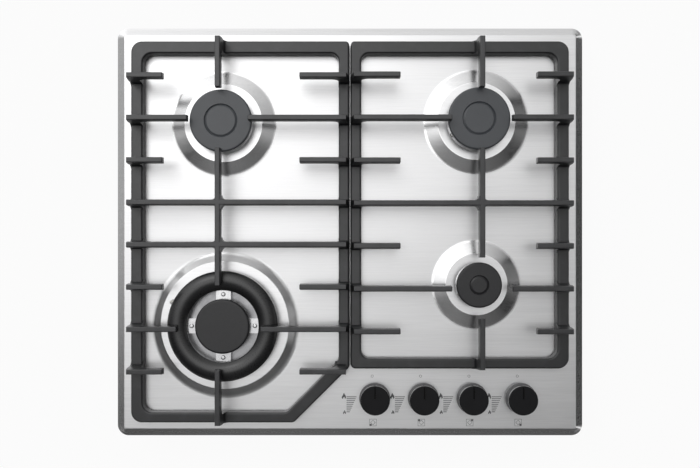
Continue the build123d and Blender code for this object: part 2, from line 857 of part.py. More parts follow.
with BuildPart() as cup_screw_blank:
    with BuildSketch(Plane.XY):
        Circle(cup_head_r)
    extrude(amount=cup_head_height)
    with BuildSketch(Plane.XY):
        Circle(cup_screw_r)
    extrude(amount=-cup_screw_length)
with BuildPart() as cup_screws:
    for burner in small_burners.values():
        skirt_r = burner.cap_r - cap_inset - skirt_inset
        flange_r = burner.cap_r - cap_inset + crown_flange
        with Locations(Plane(origin=(burner.x, burner.y, platform_z))):
            with PolarLocations((skirt_r + flange_r) / 2, 3, start_angle=30):
                add(cup_screw_blank.part)
    wok_screw_z = wok_base_z - cup_head_height - cup_screw_gap
    with Locations(Plane(origin=(wok_x, wok_y, wok_screw_z))):
        with PolarLocations((wok_hole_r + wok_flange_r) / 2, 4, start_angle=45):
            add(cup_screw_blank.part)
keep(cup_screws.part, "cup_screws")

with BuildPart() as injectors:
    for x, y in [(b.x, b.y) for b in small_burners.values()] + [(wok_x, wok_y)]:
        with BuildSketch(level(x, y, cup_bottom_z + cup_floor)):
            RegularPolygon(jet_hex_r, 6)
        extrude(amount=jet_hex_height)
        with BuildSketch(level(x, y, cup_bottom_z + cup_floor + jet_hex_height)):
            Circle(jet_nose_r)
        extrude(amount=jet_nose_height)
        with BuildSketch(level(x, y, cup_bottom_z + cup_floor)):
            Circle(jet_bore_r)
        extrude(amount=jet_hex_height + jet_nose_height, mode=Mode.SUBTRACT)
keep(injectors.part, "injectors")

electrodes = [around(b.x, b.y, b.cap_r - cap_inset + crown_flange - electrode_inset,
                     electrode_angle) for b in small_burners.values()]
wok_electrode = around(wok_x, wok_y, wok_electrode_r, wok_electrode_angle)
with BuildPart() as electrode_ceramics:
    for x, y in electrodes + [wok_electrode]:
        with BuildSketch(level(x, y, platform_under_z - ceramic_below)):
            Circle(ceramic_r)
            Circle(pin_r, mode=Mode.SUBTRACT)
        extrude(amount=ceramic_below + sheet + ceramic_above)
keep(electrode_ceramics.part, "electrode_ceramics")

wok_pin_z = platform_z + pin_above
wok_pin_end = around(*wok_electrode, wok_pin_reach, wok_electrode_angle + 180)
with BuildPart() as electrode_pins:
    for x, y in electrodes:
        with BuildSketch(level(x, y, platform_under_z - ceramic_below)):
            Circle(pin_r)
        extrude(amount=ceramic_below + sheet + pin_above)
    with BuildLine() as wok_pin_path:
        FilletPolyline(
            (*wok_electrode, platform_under_z - ceramic_below),
            (*wok_electrode, wok_pin_z),
            (*wok_pin_end, wok_pin_z + pin_r),
            radius=2 * pin_r,
        )
    with BuildSketch(level(*wok_electrode, platform_under_z - ceramic_below)):
        Circle(pin_r)
    sweep(path=wok_pin_path.line)
keep(electrode_pins.part, "electrode_pins")

# ---------------------------------------------------------------- taps, spindles and knobs

tap_top_z = tap_bottom_z + tap_height
support_top_z = tap_top_z + support_sheet
shoulder_top_z = under_z - spindle_fit
collar_top_z = shoulder_top_z - shoulder_height
collar_bottom_z = collar_top_z - collar_height
switch_x = collar_arm - collar_arm_width / 2
rail_y = knob_y - rail_back


def make_tap(x):
    """Brass tap body with ears, a spigot into the rail and an outlet to the feed pipe."""
    with BuildPart() as tap:
        with BuildSketch(level(x, knob_y, tap_bottom_z)):
            RectangleRounded(tap_width, tap_depth, tap_corner_r)
        extrude(amount=tap_height)
        with BuildSketch(level(x, knob_y, tap_top_z)):
            Rectangle(tap_ear_width, tap_ear_depth)
        extrude(amount=-tap_ear_height)
        with BuildSketch(level(x, knob_y, tap_top_z)):
            Circle(tap_boss_r)
        extrude(amount=tap_boss_height)
        with BuildSketch(upright(x, knob_y, pipe_z)):
            Circle(spigot_r)
        extrude(amount=spigot_reach)
        with BuildSketch(upright(x, knob_y, pipe_z)):
            Circle(outlet_r)
        extrude(amount=-(tap_depth / 2 + outlet_reach))
        with BuildSketch(upright(x, knob_y + tap_depth / 2 + outlet_reach, pipe_z)):
            Circle(feed_r + feed_gap)
        extrude(amount=outlet_reach, mode=Mode.SUBTRACT)
        with BuildSketch(level(x, knob_y, tap_top_z + tap_boss_height)):
            Circle(spindle_r + spindle_fit)
        extrude(amount=-tap_bore_depth, mode=Mode.SUBTRACT)
        with BuildSketch(level(x, knob_y, tap_top_z)):
            with GridLocations(0, 2 * tap_screw_reach, 1, 2):
                Circle(tap_screw_r)
        extrude(amount=-tap_ear_height, mode=Mode.SUBTRACT)
    return tap.part


def make_spindle(x):
    """Spindle with a shoulder over the collar and a flat that drives the knob."""
    bottom_z = tap_top_z + tap_boss_height - tap_bore_depth + knob_travel + spindle_r / 8
    top_z = panel_z + knob_top - knob_roof - spindle_fit
    with BuildPart() as spindle:
        with BuildSketch(level(x, knob_y, bottom_z)):
            Circle(spindle_r)
        extrude(amount=top_z - bottom_z)
        with BuildSketch(level(x, knob_y, collar_top_z)):
            Circle(shoulder_r)
        extrude(amount=shoulder_height)
        with BuildSketch(level(x, knob_y, panel_z + knob_gap)):
            with Locations((0, -spindle_flat - spindle_r / 2)):
                Rectangle(3 * spindle_r, spindle_r)
        extrude(amount=top_z - panel_z, mode=Mode.SUBTRACT)
        chamfer(spindle.faces().sort_by(Axis.Z)[-1].edges(), spindle_r / 8)
    return spindle.part


def make_collar(x):
    """Push collar that doesn't turn, with an arm over the switch."""
    with BuildPart() as collar:
        with BuildSketch(level(x, knob_y, collar_bottom_z)):
            Circle(collar_r)
            with Locations((collar_arm / 2, 0)):
                Rectangle(collar_arm, collar_arm_width)
            Circle(spindle_r + spindle_fit, mode=Mode.SUBTRACT)
        extrude(amount=collar_height)
    return collar.part


def make_knob(x):
    """Hollow knob with a waisted side, a soft rim and a pointer groove."""
    flange_z = knob_gap + knob_flange_height
    hub_z = knob_gap + knob_hub_lift
    roof_z = knob_top - knob_roof
    with BuildPart() as knob:
        with BuildSketch(upright(x, knob_y, panel_z)) as section:
            with BuildLine():
                Polyline(
                    (0, knob_top), (0, roof_z),
                    (spindle_r + spindle_fit, roof_z),
                    (spindle_r + spindle_fit, hub_z),
                    (knob_hub_r, hub_z),
                    (knob_hub_r, roof_z),
                    (knob_cap_r - knob_shell, roof_z),
                    (knob_waist_r - knob_shell, knob_waist_z),
                    (knob_flange_r - knob_shell, knob_gap),
                    (knob_flange_r, knob_gap),
                    (knob_flange_r, flange_z),
                )
                ThreePointArc(
                    (knob_flange_r, flange_z),
                    (knob_waist_r, knob_waist_z),
                    (knob_cap_r, knob_cap_z),
                )
                Polyline((knob_cap_r, knob_cap_z), (knob_cap_r, knob_top), (0, knob_top))
            make_face()
            fillet(section.vertices().sort_by_distance((knob_cap_r, knob_top))[0], knob_edge_r)
        revolve(axis=standing_axis(x, knob_y))
        with BuildSketch(level(x, knob_y, panel_z + hub_z)):
            Circle(spindle_r + 2 * spindle_fit)
            with Locations((0, -spindle_flat - spindle_fit)):
                Rectangle(3 * spindle_r, 3 * spindle_r,
                          align=(Align.CENTER, Align.MIN), mode=Mode.SUBTRACT)
        extrude(amount=roof_z - hub_z)
        with BuildSketch(level(x, knob_y, panel_z + knob_top)):
            with Locations((0, (pointer_inner + pointer_outer) / 2)):
                SlotOverall(pointer_outer - pointer_inner, pointer_width, rotation=90)
        extrude(amount=-pointer_depth, mode=Mode.SUBTRACT)
    return knob.part


for place, knob_x in zip(knob_names, knob_xs):
    keep(make_tap(knob_x), f"tap_{place}")
    keep(make_spindle(knob_x), f"spindle_{place}")
    keep(make_collar(knob_x), f"push_collar_{place}")
    keep(make_knob(knob_x), f"knob_{place}")

support_left = knob_xs[0] - support_end
support_right = knob_xs[-1] + support_end
with BuildPart() as tap_support:
    with BuildSketch(upright(0, knob_y, 0)):
        Polygon(
            (support_left - support_flange, under_z),
            (support_left - support_flange, under_z - support_sheet),
            (support_left, under_z - support_sheet),
            (support_left, tap_top_z),
            (support_right, tap_top_z),
            (support_right, under_z - support_sheet),
            (support_right + support_flange, under_z - support_sheet),
            (support_right + support_flange, under_z),
            (support_right - support_sheet, under_z),
            (support_right - support_sheet, support_top_z),
            (support_left + support_sheet, support_top_z),
            (support_left + support_sheet, under_z),
            align=None,
        )
    extrude(amount=support_width / 2, both=True)
    with BuildSketch(level(0, 0, tap_top_z)):
        with Locations([(x, knob_y) for x in knob_xs]):
            Circle(tap_boss_r + fit_gap)
            with GridLocations(0, 2 * tap_screw_reach, 1, 2):
                Circle(tap_screw_r + spindle_fit)
        with Locations([(x + switch_x, knob_y) for x in knob_xs]):
            Circle(plunger_r + plunger_hole_gap)
    extrude(amount=support_sheet, mode=Mode.SUBTRACT)
keep(tap_support.part, "tap_support")

with BuildPart() as tap_screws:
    for x in knob_xs:
        with BuildSketch(level(x, knob_y, support_top_z)):
            with GridLocations(0, 2 * tap_screw_reach, 1, 2):
                Circle(tap_head_r)
        extrude(amount=tap_head_height)
        with BuildSketch(level(x, knob_y, support_top_z)):
            with GridLocations(0, 2 * tap_screw_reach, 1, 2):
                Circle(tap_screw_r)
        extrude(amount=-(support_sheet + tap_ear_height))
keep(tap_screws.part, "tap_screws")

switch_left_x = max(tap_width / 2, tap_boss_r) + switch_gap
with BuildPart() as ignition_switches:
    for x in knob_xs:
        with BuildSketch(level(x, knob_y, tap_top_z)):
            with Locations((switch_left_x + switch_width / 2, 0)):
                RectangleRounded(switch_width, switch_depth, switch_gap)
        extrude(amount=-switch_height)
        with BuildSketch(level(x + switch_x, knob_y, tap_top_z)):
            Circle(plunger_r)
        extrude(amount=collar_bottom_z - knob_travel - plunger_gap - tap_top_z)
keep(ignition_switches.part, "ignition_switches")

with BuildPart() as spindle_seals:
    with BuildSketch(level(0, 0, panel_z)):
        with Locations([(x, knob_y) for x in knob_xs]):
            Circle(seal_ring_r)
            Circle(spindle_r + seal_ring_gap, mode=Mode.SUBTRACT)
    extrude(amount=seal_ring_height)
    chamfer(spindle_seals.faces().sort_by(Axis.Z)[-4:].edges().filter_by(
        lambda e: e.radius > collar_r), seal_ring_height / 2)
keep(spindle_seals.part, "spindle_seals")

# ---------------------------------------------------------------- gas rail, inlet and pipes

with BuildPart() as gas_rail:
    with BuildLine() as rail_path:
        FilletPolyline(
            (rail_start_x, rail_y, pipe_z),
            (rail_riser_x, rail_y, pipe_z),
            (rail_riser_x, rail_end_y, pipe_z),
            radius=rail_bend_r,
        )
    with BuildSketch(Plane(origin=(rail_start_x, rail_y, pipe_z), z_dir=(1, 0, 0))):
        Circle(rail_r)
        Circle(rail_r - rail_wall, mode=Mode.SUBTRACT)
    sweep(path=rail_path.line)
    with BuildSketch(upright(0, rail_y, pipe_z)):
        with Locations([(x, 0) for x in knob_xs]):
            Circle(spigot_r + spigot_gap)
    extrude(amount=-rail_r, mode=Mode.SUBTRACT)
keep(gas_rail.part, "gas_rail")

with BuildPart() as rail_end_stop:
    with BuildSketch(Plane(origin=(rail_start_x, rail_y, pipe_z), z_dir=(-1, 0, 0))):
        Circle(rail_r)
    extrude(amount=end_stop_length)
    with BuildSketch(Plane(origin=(rail_start_x, rail_y, pipe_z), z_dir=(1, 0, 0))):
        Circle(rail_r - rail_wall - spigot_gap)
    extrude(amount=end_stop_length)
keep(rail_end_stop.part, "rail_end_stop")

inlet_y = rail_end_y + inlet_socket
with BuildPart() as gas_inlet:
    with BuildSketch(upright(rail_riser_x, inlet_y, pipe_z)):
        Circle(inlet_body_r)
    extrude(amount=2 * inlet_socket)
    with BuildSketch(level(rail_riser_x, inlet_y, pipe_z)):
        Circle(inlet_body_r)
    extrude(amount=-(pipe_z - inlet_end_z - inlet_thread_length))
    with BuildSketch(upright(rail_riser_x, inlet_y, pipe_z)):
        with BuildLine():
            Line((0, -inlet_body_r), (0, inlet_body_r))
            ThreePointArc((0, inlet_body_r), (inlet_body_r, 0), (0, -inlet_body_r))
        make_face()
    revolve(axis=standing_axis(rail_riser_x, inlet_y))
    with BuildSketch(level(rail_riser_x, inlet_y, inlet_end_z + inlet_thread_length)):
        RegularPolygon(inlet_hex_flats / 2, 6, major_radius=False)
    extrude(amount=inlet_hex_height)
    with BuildSketch(level(rail_riser_x, inlet_y, inlet_end_z)):
        Circle(inlet_thread_r)
    extrude(amount=inlet_thread_length)
    with BuildSketch(level(rail_riser_x, inlet_y, inlet_end_z)):
        Circle(inlet_bore_r)
    extrude(amount=pipe_z - inlet_end_z, mode=Mode.SUBTRACT)
    with BuildSketch(upright(rail_riser_x, inlet_y, pipe_z)):
        Circle(inlet_bore_r - 1)
    extrude(amount=inlet_socket, mode=Mode.SUBTRACT)
    with BuildSketch(upright(rail_riser_x, rail_end_y, pipe_z)):
        Circle(rail_r + spigot_gap)
    extrude(amount=inlet_socket, mode=Mode.SUBTRACT)
keep(gas_inlet.part, "gas_inlet")

tap_port_y = knob_y + tap_depth / 2 + outlet_reach
feed_start_y = tap_port_y - feed_insert
rear_cup_r = rear_cap_r - cap_inset - skirt_inset + fit_gap + cup_wall
aux_cup_r = aux_cap_r - cap_inset - skirt_inset + fit_gap + cup_wall
left_port_y = rear_left_y - rear_cup_r - port_reach
right_port_y = rear_right_y - rear_cup_r - port_reach
aux_port_x = burner_x + aux_cup_r + port_reach
wok_port_x = wok_x + wok_cup_r + port_reach
feed_routes = {
    "front_left": [(knob_xs[0], feed_start_y), (knob_xs[0], wok_y),
                   (wok_port_x - feed_insert, wok_y)],
    "rear_left": [(knob_xs[1], feed_start_y), (knob_xs[1], rear_left_lane_y),
                  (-burner_x, rear_left_lane_y), (-burner_x, left_port_y + feed_insert)],
    "rear_right": [(knob_xs[2], feed_start_y), (knob_xs[2], rear_right_jog_y),
                   (rear_right_lane_x, rear_right_jog_y),
                   (rear_right_lane_x, rear_left_lane_y),
                   (burner_x, rear_left_lane_y), (burner_x, right_port_y + feed_insert)],
    "front_right": [(knob_xs[3], feed_start_y), (knob_xs[3], aux_y),
                    (aux_port_x - feed_insert, aux_y)],
}
for place, route in feed_routes.items():
    with BuildPart() as feed_pipe:
        with BuildLine() as feed_path:
            FilletPolyline(*[(x, y, pipe_z) for x, y in route], radius=feed_bend_r)
        with BuildSketch(Plane(origin=(*route[0], pipe_z), z_dir=(0, 1, 0))):
            Circle(feed_r)
            Circle(feed_r - feed_wall, mode=Mode.SUBTRACT)
        sweep(path=feed_path.line)
    keep(feed_pipe.part, f"feed_pipe_{place}")

nut_planes = [Plane(origin=(x, tap_port_y, pipe_z), z_dir=(0, 1, 0)) for x in knob_xs]
nut_planes += [Plane(origin=(-burner_x, left_port_y, pipe_z), z_dir=(0, -1, 0)),
               Plane(origin=(burner_x, right_port_y, pipe_z), z_dir=(0, -1, 0))]
nut_planes += [Plane(origin=(aux_port_x, aux_y, pipe_z), z_dir=(1, 0, 0)),
               Plane(origin=(wok_port_x, wok_y, pipe_z), z_dir=(1, 0, 0))]
with BuildPart() as pipe_nuts:
    for nut_plane in nut_planes:
        with BuildSketch(nut_plane):
            RegularPolygon(nut_flats / 2, 6, major_radius=False)
            Circle(feed_r + feed_gap, mode=Mode.SUBTRACT)
        extrude(amount=nut_length)
keep(pipe_nuts.part, "pipe_nuts")

# ---------------------------------------------------------------- electrical pieces

with BuildPart() as ignition_module:
    with BuildSketch(level(module_x, module_y, tray_sheet)):
        RectangleRounded(module_width, module_depth, module_corner_r)
    extrude(amount=module_height)
    fillet(ignition_module.faces().sort_by(Axis.Z)[-1].edges(), module_corner_r / 2)
    with BuildSketch(level(module_x, module_y, tray_sheet)):
        SlotOverall(module_width + 2 * module_ear, 2 * module_ear)
    extrude(amount=module_ear_height)
    with BuildSketch(level(module_x, module_y, tray_sheet)):
        with GridLocations(2 * module_screw_reach, 0, 2, 1):
            Circle(floor_screw_r)
    extrude(amount=module_ear_height, mode=Mode.SUBTRACT)
    with BuildSketch(level(module_x, module_y, tray_sheet + module_height)):
        with GridLocations(tower_pitch, 0, 4, 1):
            Circle(tower_r)
    extrude(amount=tower_height)
keep(ignition_module.part, "ignition_module")

with BuildPart() as terminal_block:
    with BuildSketch(level(gland_x, terminal_y, tray_sheet)):
        RectangleRounded(terminal_width, terminal_depth, floor_screw_r)
        Circle(floor_screw_r, mode=Mode.SUBTRACT)
    extrude(amount=terminal_height)
    with BuildSketch(upright(gland_x, terminal_y + terminal_depth / 2,
                             tray_sheet + terminal_height / 2)):
        with GridLocations(terminal_pitch + terminal_hole_r, 0, terminal_poles, 1):
            Circle(terminal_hole_r)
    extrude(amount=terminal_depth / 3, mode=Mode.SUBTRACT)
keep(terminal_block.part, "terminal_block")

with BuildPart() as floor_screws:
    spots = [(module_x - module_screw_reach, module_y, module_ear_height),
             (module_x + module_screw_reach, module_y, module_ear_height),
             (gland_x, terminal_y, terminal_height)]
    for x, y, height in spots:
        with BuildSketch(level(x, y, tray_sheet + height)):
            Circle(floor_head_r)
        extrude(amount=floor_head_height)
        with BuildSketch(level(x, y, tray_sheet + height)):
            Circle(floor_screw_r - spindle_fit)
        extrude(amount=-(height + tray_sheet))
keep(floor_screws.part, "floor_screws")

with BuildPart() as cable_gland:
    gland_face_y = tray_depth / 2
    with BuildSketch(upright(gland_x, gland_face_y, gland_z)):
        Circle(gland_flange_r)
    extrude(amount=-gland_flange)
    fillet(cable_gland.faces().sort_by(Axis.Y)[-1].edges(), gland_flange / 2)
    with BuildSketch(upright(gland_x, gland_face_y, gland_z)):
        Circle(gland_body_r)
    extrude(amount=gland_inside)
    with BuildSketch(upright(gland_x, gland_face_y + gland_flange, gland_z)):
        Circle(gland_bore_r)
    extrude(amount=gland_flange + gland_inside, mode=Mode.SUBTRACT)
keep(cable_gland.part, "cable_gland")

lead_z = tray_sheet + lead_r + lead_floor_gap
tower_z = tray_sheet + module_height + tower_height
ceramic_end_z = platform_under_z - ceramic_below
rear_left_end, rear_right_end, front_right_end = electrodes
lead_routes = [
    (-3 * tower_pitch / 2, lead_far_y, lead_wok_x, wok_electrode),
    (-tower_pitch / 2, lead_near_y, lead_left_x, rear_left_end),
    (tower_pitch / 2, lead_near_y, rear_right_end[0], rear_right_end),
    (3 * tower_pitch / 2, lead_far_y, lead_right_x, front_right_end),
]
with BuildPart() as ignition_leads:
    for tower_x, cross_y, lane_x, (end_x, end_y) in lead_routes:
        turns = [(tower_x, module_y, tower_z), (tower_x, module_y, lead_hop_z),
                 (tower_x, cross_y, lead_hop_z), (tower_x, cross_y, lead_z),
                 (lane_x, cross_y, lead_z), (lane_x, end_y, lead_z)]
        if lane_x != end_x:
            turns.append((end_x, end_y, lead_z))
        turns.append((end_x, end_y, ceramic_end_z))
        with BuildLine() as lead_path:
            FilletPolyline(*turns, radius=lead_bend_r)
        with BuildSketch(level(tower_x, module_y, tower_z)):
            Circle(lead_r)
        sweep(path=lead_path.line)
keep(ignition_leads.part, "ignition_leads")

# ---------------------------------------------------------------- cast pan supports

bar_under_z = panel_z + foot_height
bar_top_z = bar_under_z + bar_height
finger_top_z = panel_z + finger_top
finger_under_z = finger_top_z - finger_depth
root_z = bar_top_z - leg_root
side_x = (plate_width - 2 * bevel_width) / 2 - support_clearance
seam_x = seam_gap / 2
left_ys = [left_first_y - i * left_pitch for i in range(8)]
right_ys = [right_first_y - i * right_pitch for i in range(7)]
Finger = namedtuple("Finger", "x y angle reach root setback near_leg far_leg")


def make_finger(finger):
    """A finger along +X from the frame's outer edge at X = 0, on one leg, two or none."""
    reach = finger.reach
    far_root = reach - bar_width
    points = [(reach, finger_top_z), (reach, finger_under_z)]
    corners = []
    if finger.far_leg:
        points = [(reach - seam_setback, finger_top_z), (reach, root_z),
                  (far_root, root_z), (far_root, finger_under_z)]
        corners.append((far_root, finger_under_z))
    if finger.near_leg:
        points += [(finger.root, finger_under_z), (finger.root, root_z), (0, root_z),
                   (finger.setback, finger_top_z)]
        corners.append((finger.root, finger_under_z))
    else:
        points += [(0, finger_under_z), (0, finger_top_z)]
    half_top = finger_top_width / 2
    half_base = finger_base_width / 2
    half_root = leg_root_width / 2
    flare_z = root_z + leg_root + (finger_under_z - bar_top_z) / 2
    with BuildPart() as cast_finger:
        with BuildSketch(Plane.XZ) as side:
            Polygon(*points, align=None)
            for corner in corners:
                fillet(side.vertices().sort_by_distance(corner)[0], leg_fillet_r)
        extrude(amount=leg_root_width, both=True)
        with BuildSketch(Plane.YZ) as section:
            with BuildLine():
                Line((-half_top, finger_top_z), (half_top, finger_top_z))
                Polyline((half_top, finger_top_z), (half_base, finger_under_z),
                         (half_base, flare_z))
                RadiusArc((half_base, flare_z), (half_root, root_z), -leg_flare_r)
                Line((half_root, root_z), (-half_root, root_z))
                RadiusArc((-half_root, root_z), (-half_base, flare_z), -leg_flare_r)
                Polyline((-half_base, flare_z), (-half_base, finger_under_z),
                         (-half_top, finger_top_z))
            make_face()
            for x in (-half_top, half_top):
                fillet(section.vertices().sort_by_distance((x, finger_top_z))[0],
                       finger_edge_r)
        extrude(amount=reach, mode=Mode.INTERSECT)
        ends = [] if finger.far_leg else [cast_finger.faces().sort_by(Axis.X)[-1]]
        ends += [] if finger.near_leg else [cast_finger.faces().sort_by(Axis.X)[0]]
        for end in ends:
            fillet(end.edges().sort_by(Axis.Z)[1:], tip_r)
    return cast_finger.part


def make_cross_web():
    """Rounded corners where a lengthways bar meets a cross bar."""
    half = finger_base_width / 2 + cross_fillet_r - 0.2
    with BuildPart() as web:
        with BuildSketch(level(0, 0, finger_under_z)):
            Rectangle(2 * half, 2 * half)
            with GridLocations(2 * half, 2 * half, 2, 2):
                Circle(cross_fillet_r, mode=Mode.SUBTRACT)
        extrude(amount=finger_depth - finger_edge_r / 2, taper=bar_draft)
    return web.part


def make_frame(corners, outer_radii, inner_corners, inner_radii):
    """The frame bar as a ring between two rounded outlines, with draft and rounded tops."""
    with BuildPart() as frame:
        with BuildSketch(level(0, 0, bar_under_z)):
            with BuildLine():
                FilletPolyline(*corners, radius=outer_radii, close=True)
            make_face()
            with BuildLine() as inner:
                FilletPolyline(*inner_corners, radius=inner_radii, close=True)
            make_face(inner.edges(), mode=Mode.SUBTRACT)
        extrude(amount=bar_height, taper=bar_draft)
        fillet(frame.faces().sort_by(Axis.Z)[-1].edges(), bar_edge_r)
    return frame.part


diagonal_x = left_front_y - diagonal_y - seam_x
diagonal_rise = diagonal_bar_width * 2 ** 0.5 - bar_width
inner_rear_y = grate_rear_y - rear_bar_width
inner_side_x = side_x - side_bar_width
inner_seam_x = seam_x + bar_width
left_frame = make_frame(
    [(-side_x, grate_rear_y), (-seam_x, grate_rear_y), (-seam_x, diagonal_y),
     (diagonal_x, left_front_y), (-side_x, left_front_y)],
    [far_corner_r, seam_corner_r, seam_corner_r, diagonal_corner_r, far_corner_r],
    [(-inner_side_x, inner_rear_y), (-inner_seam_x, inner_rear_y),
     (-inner_seam_x, diagonal_y + diagonal_rise),
     (diagonal_x - diagonal_rise, left_front_y + bar_width),
     (-inner_side_x, left_front_y + bar_width)],
    [far_inner_r, seam_inner_r, seam_inner_r, seam_inner_r, far_inner_r],
)
right_frame = make_frame(
    [(seam_x, grate_rear_y), (side_x, grate_rear_y), (side_x, right_front_y),
     (seam_x, right_front_y)],
    [seam_corner_r, far_corner_r, far_corner_r, front_corner_r],
    [(inner_seam_x, inner_rear_y), (inner_side_x, inner_rear_y),
     (inner_side_x, right_front_y + bar_width), (inner_seam_x, right_front_y + bar_width)],
    [seam_inner_r, far_inner_r, far_inner_r, seam_inner_r],
)


def side_finger(sign, y, reach, far_leg=False):
    """A finger from the outer side bar inwards, sign 1 at the right and -1 at the left."""
    return Finger(sign * side_x, y, 90 + 90 * sign, reach, side_bar_width, end_setback,
                  True, far_leg)


def seam_finger(sign, y, reach):
    """A finger from the bar at the seam outwards, sign 1 to the right and -1 to the left."""
    return Finger(sign * seam_x, y, 90 - 90 * sign, reach, bar_width, seam_setback,
                  True, False)


def rear_finger(sign, reach):
    """The finger from the rear bar over a rear burner."""
    return Finger(sign * spine_x, grate_rear_y, -90, reach, rear_bar_width, rear_setback,
                  True, False)


def front_finger(sign, front_y, reach):
    """The finger from the front bar over a front burner."""
    return Finger(sign * spine_x, front_y, 90, reach, bar_width, end_setback, True, False)


grate_span = side_x - seam_x
gap_reach_outer = side_x - spine_x - pot_gap_r
gap_reach_inner = spine_x - seam_x - pot_gap_r
wok_reach_outer = side_x - burner_x - wok_gap_r
wok_reach_inner = burner_x - seam_x - wok_gap_r
rear_reach = grate_rear_y - rear_gap_y - pot_gap_r
rear_gap_front = rear_gap_y - pot_gap_r
left_fingers = [side_finger(-1, left_ys[row], stub_outer) for row in (0, 2, 5, 7)]
left_fingers += [seam_finger(-1, left_ys[row], stub_inner) for row in (0, 2, 5)]
left_fingers += [
    Finger(-seam_x - seam_setback, left_ys[7], 180, stub_inner - seam_setback, bar_width, 0,
           True, False),
    side_finger(-1, left_ys[1], gap_reach_outer),
    seam_finger(-1, left_ys[1], gap_reach_inner),
    side_finger(-1, left_ys[6], wok_reach_outer),
    seam_finger(-1, left_ys[6], wok_reach_inner),
    side_finger(-1, left_ys[3], grate_span, True),
    side_finger(-1, left_ys[4], grate_span, True),
    rear_finger(-1, rear_reach),
    front_finger(-1, left_front_y, wok_y - wok_gap_r - left_front_y),
    Finger(-spine_x, rear_gap_front, -90, rear_gap_front - wok_y - wok_gap_r, 0, 0,
           False, False),
]
right_fingers = [side_finger(1, right_ys[row], stub_outer) for row in (0, 2, 4, 6)]
right_fingers += [seam_finger(1, right_ys[row], stub_inner) for row in (0, 2, 4, 6)]
right_fingers += [
    side_finger(1, right_ys[1], gap_reach_outer),
    seam_finger(1, right_ys[1], gap_reach_inner),
    side_finger(1, right_ys[5], gap_reach_outer),
    seam_finger(1, right_ys[5], gap_reach_inner),
    side_finger(1, right_ys[3], grate_span, True),
    rear_finger(1, rear_reach),
    front_finger(1, right_front_y, aux_gap_y - pot_gap_r - right_front_y),
    Finger(spine_x, rear_gap_front, -90, rear_gap_front - aux_gap_y - pot_gap_r, 0, 0,
           False, False),
]
half_bar = bar_width / 2
left_feet = [(-side_x + half_bar, grate_rear_y - far_corner_r - half_bar),
             (-seam_x - half_bar, grate_rear_y - far_corner_r - half_bar),
             (-side_x + half_bar, left_front_y + far_corner_r + half_bar),
             (-seam_x - half_bar, left_ys[6]),
             (diagonal_x - far_corner_r, left_front_y + half_bar)]
right_feet = [(seam_x + half_bar, grate_rear_y - far_corner_r - half_bar),
              (side_x - half_bar, grate_rear_y - far_corner_r - half_bar),
              (side_x - half_bar, right_front_y + far_corner_r + half_bar),
              (seam_x + half_bar, right_front_y + far_corner_r + half_bar)]


def make_grate(frame, fingers, crossings, feet):
    with BuildPart() as grate:
        add(frame)
        for finger in fingers:
            with Locations(Location((finger.x, finger.y, 0), (0, 0, finger.angle))):
                add(make_finger(finger))
        with Locations([(x, y, 0) for x, y in crossings]):
            add(make_cross_web())
        with BuildSketch(level(0, 0, bar_under_z)):
            with Locations(feet):
                Circle(foot_plug_r + foot_plug_gap)
        extrude(amount=foot_plug_height, mode=Mode.SUBTRACT)
    return grate.part


def make_feet(feet):
    with BuildPart() as pads:
        with BuildSketch(level(0, 0, panel_z)):
            with Locations(feet):
                Circle(foot_r)
        extrude(amount=foot_height)
        with BuildSketch(level(0, 0, bar_under_z)):
            with Locations(feet):
                Circle(foot_plug_r)
        extrude(amount=foot_plug_height)
    return pads.part


keep(make_grate(left_frame, left_fingers,
                [(-burner_x, left_ys[3]), (-burner_x, left_ys[4])], left_feet),
     "pan_support_left")
keep(make_grate(right_frame, right_fingers, [(burner_x, right_ys[3])], right_feet),
     "pan_support_right")
keep(make_feet(left_feet), "rubber_feet_left")
keep(make_feet(right_feet), "rubber_feet_right")
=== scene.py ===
"""Looks of a built-in gas cooktop: finishes, printed panel marks, room, floor and camera."""

from __future__ import annotations

import logging
import math
from dataclasses import dataclass, field
from enum import Enum
from typing import Any, Iterable, Mapping, Sequence, Union

import bmesh
import bpy
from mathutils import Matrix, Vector


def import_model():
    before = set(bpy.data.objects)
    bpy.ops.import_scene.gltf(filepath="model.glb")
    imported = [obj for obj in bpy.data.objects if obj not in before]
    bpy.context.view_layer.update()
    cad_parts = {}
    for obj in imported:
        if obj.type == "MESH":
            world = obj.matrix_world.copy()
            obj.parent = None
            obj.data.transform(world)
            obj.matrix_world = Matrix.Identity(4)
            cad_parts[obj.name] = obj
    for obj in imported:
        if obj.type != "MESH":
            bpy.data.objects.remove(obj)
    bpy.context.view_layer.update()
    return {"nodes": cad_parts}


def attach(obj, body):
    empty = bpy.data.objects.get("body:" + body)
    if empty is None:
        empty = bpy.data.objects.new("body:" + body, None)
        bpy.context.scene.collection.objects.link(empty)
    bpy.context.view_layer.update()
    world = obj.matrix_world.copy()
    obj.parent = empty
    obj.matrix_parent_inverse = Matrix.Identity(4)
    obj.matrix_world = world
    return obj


LOG = logging.getLogger("cooktop")
MM = 0.001
WHITE = (1.0, 1.0, 1.0)
# Nearly all of a noise lies between these.
NOISE_LOW, NOISE_HIGH = 0.3, 0.7
# The first knob's X, the step to the next, their Y and the panel's top, in millimetres.
KNOB_FIRST, KNOB_PITCH, KNOB_LINE = 30.5, 60.0, -205.6
PANEL = 53.0

Colour = tuple[float, float, float]
Point = tuple[float, float]
Swing = tuple[float, float]
Number = Union[float, "Value"]


class Grain(Enum):
    """The way in which brushing or drawing lines run on a metal piece."""

    ALONG_X = (0.02, 1.0, 1.0)
    ALONG_Z = (1.0, 1.0, 0.02)
    NONE = (1.0, 1.0, 1.0)


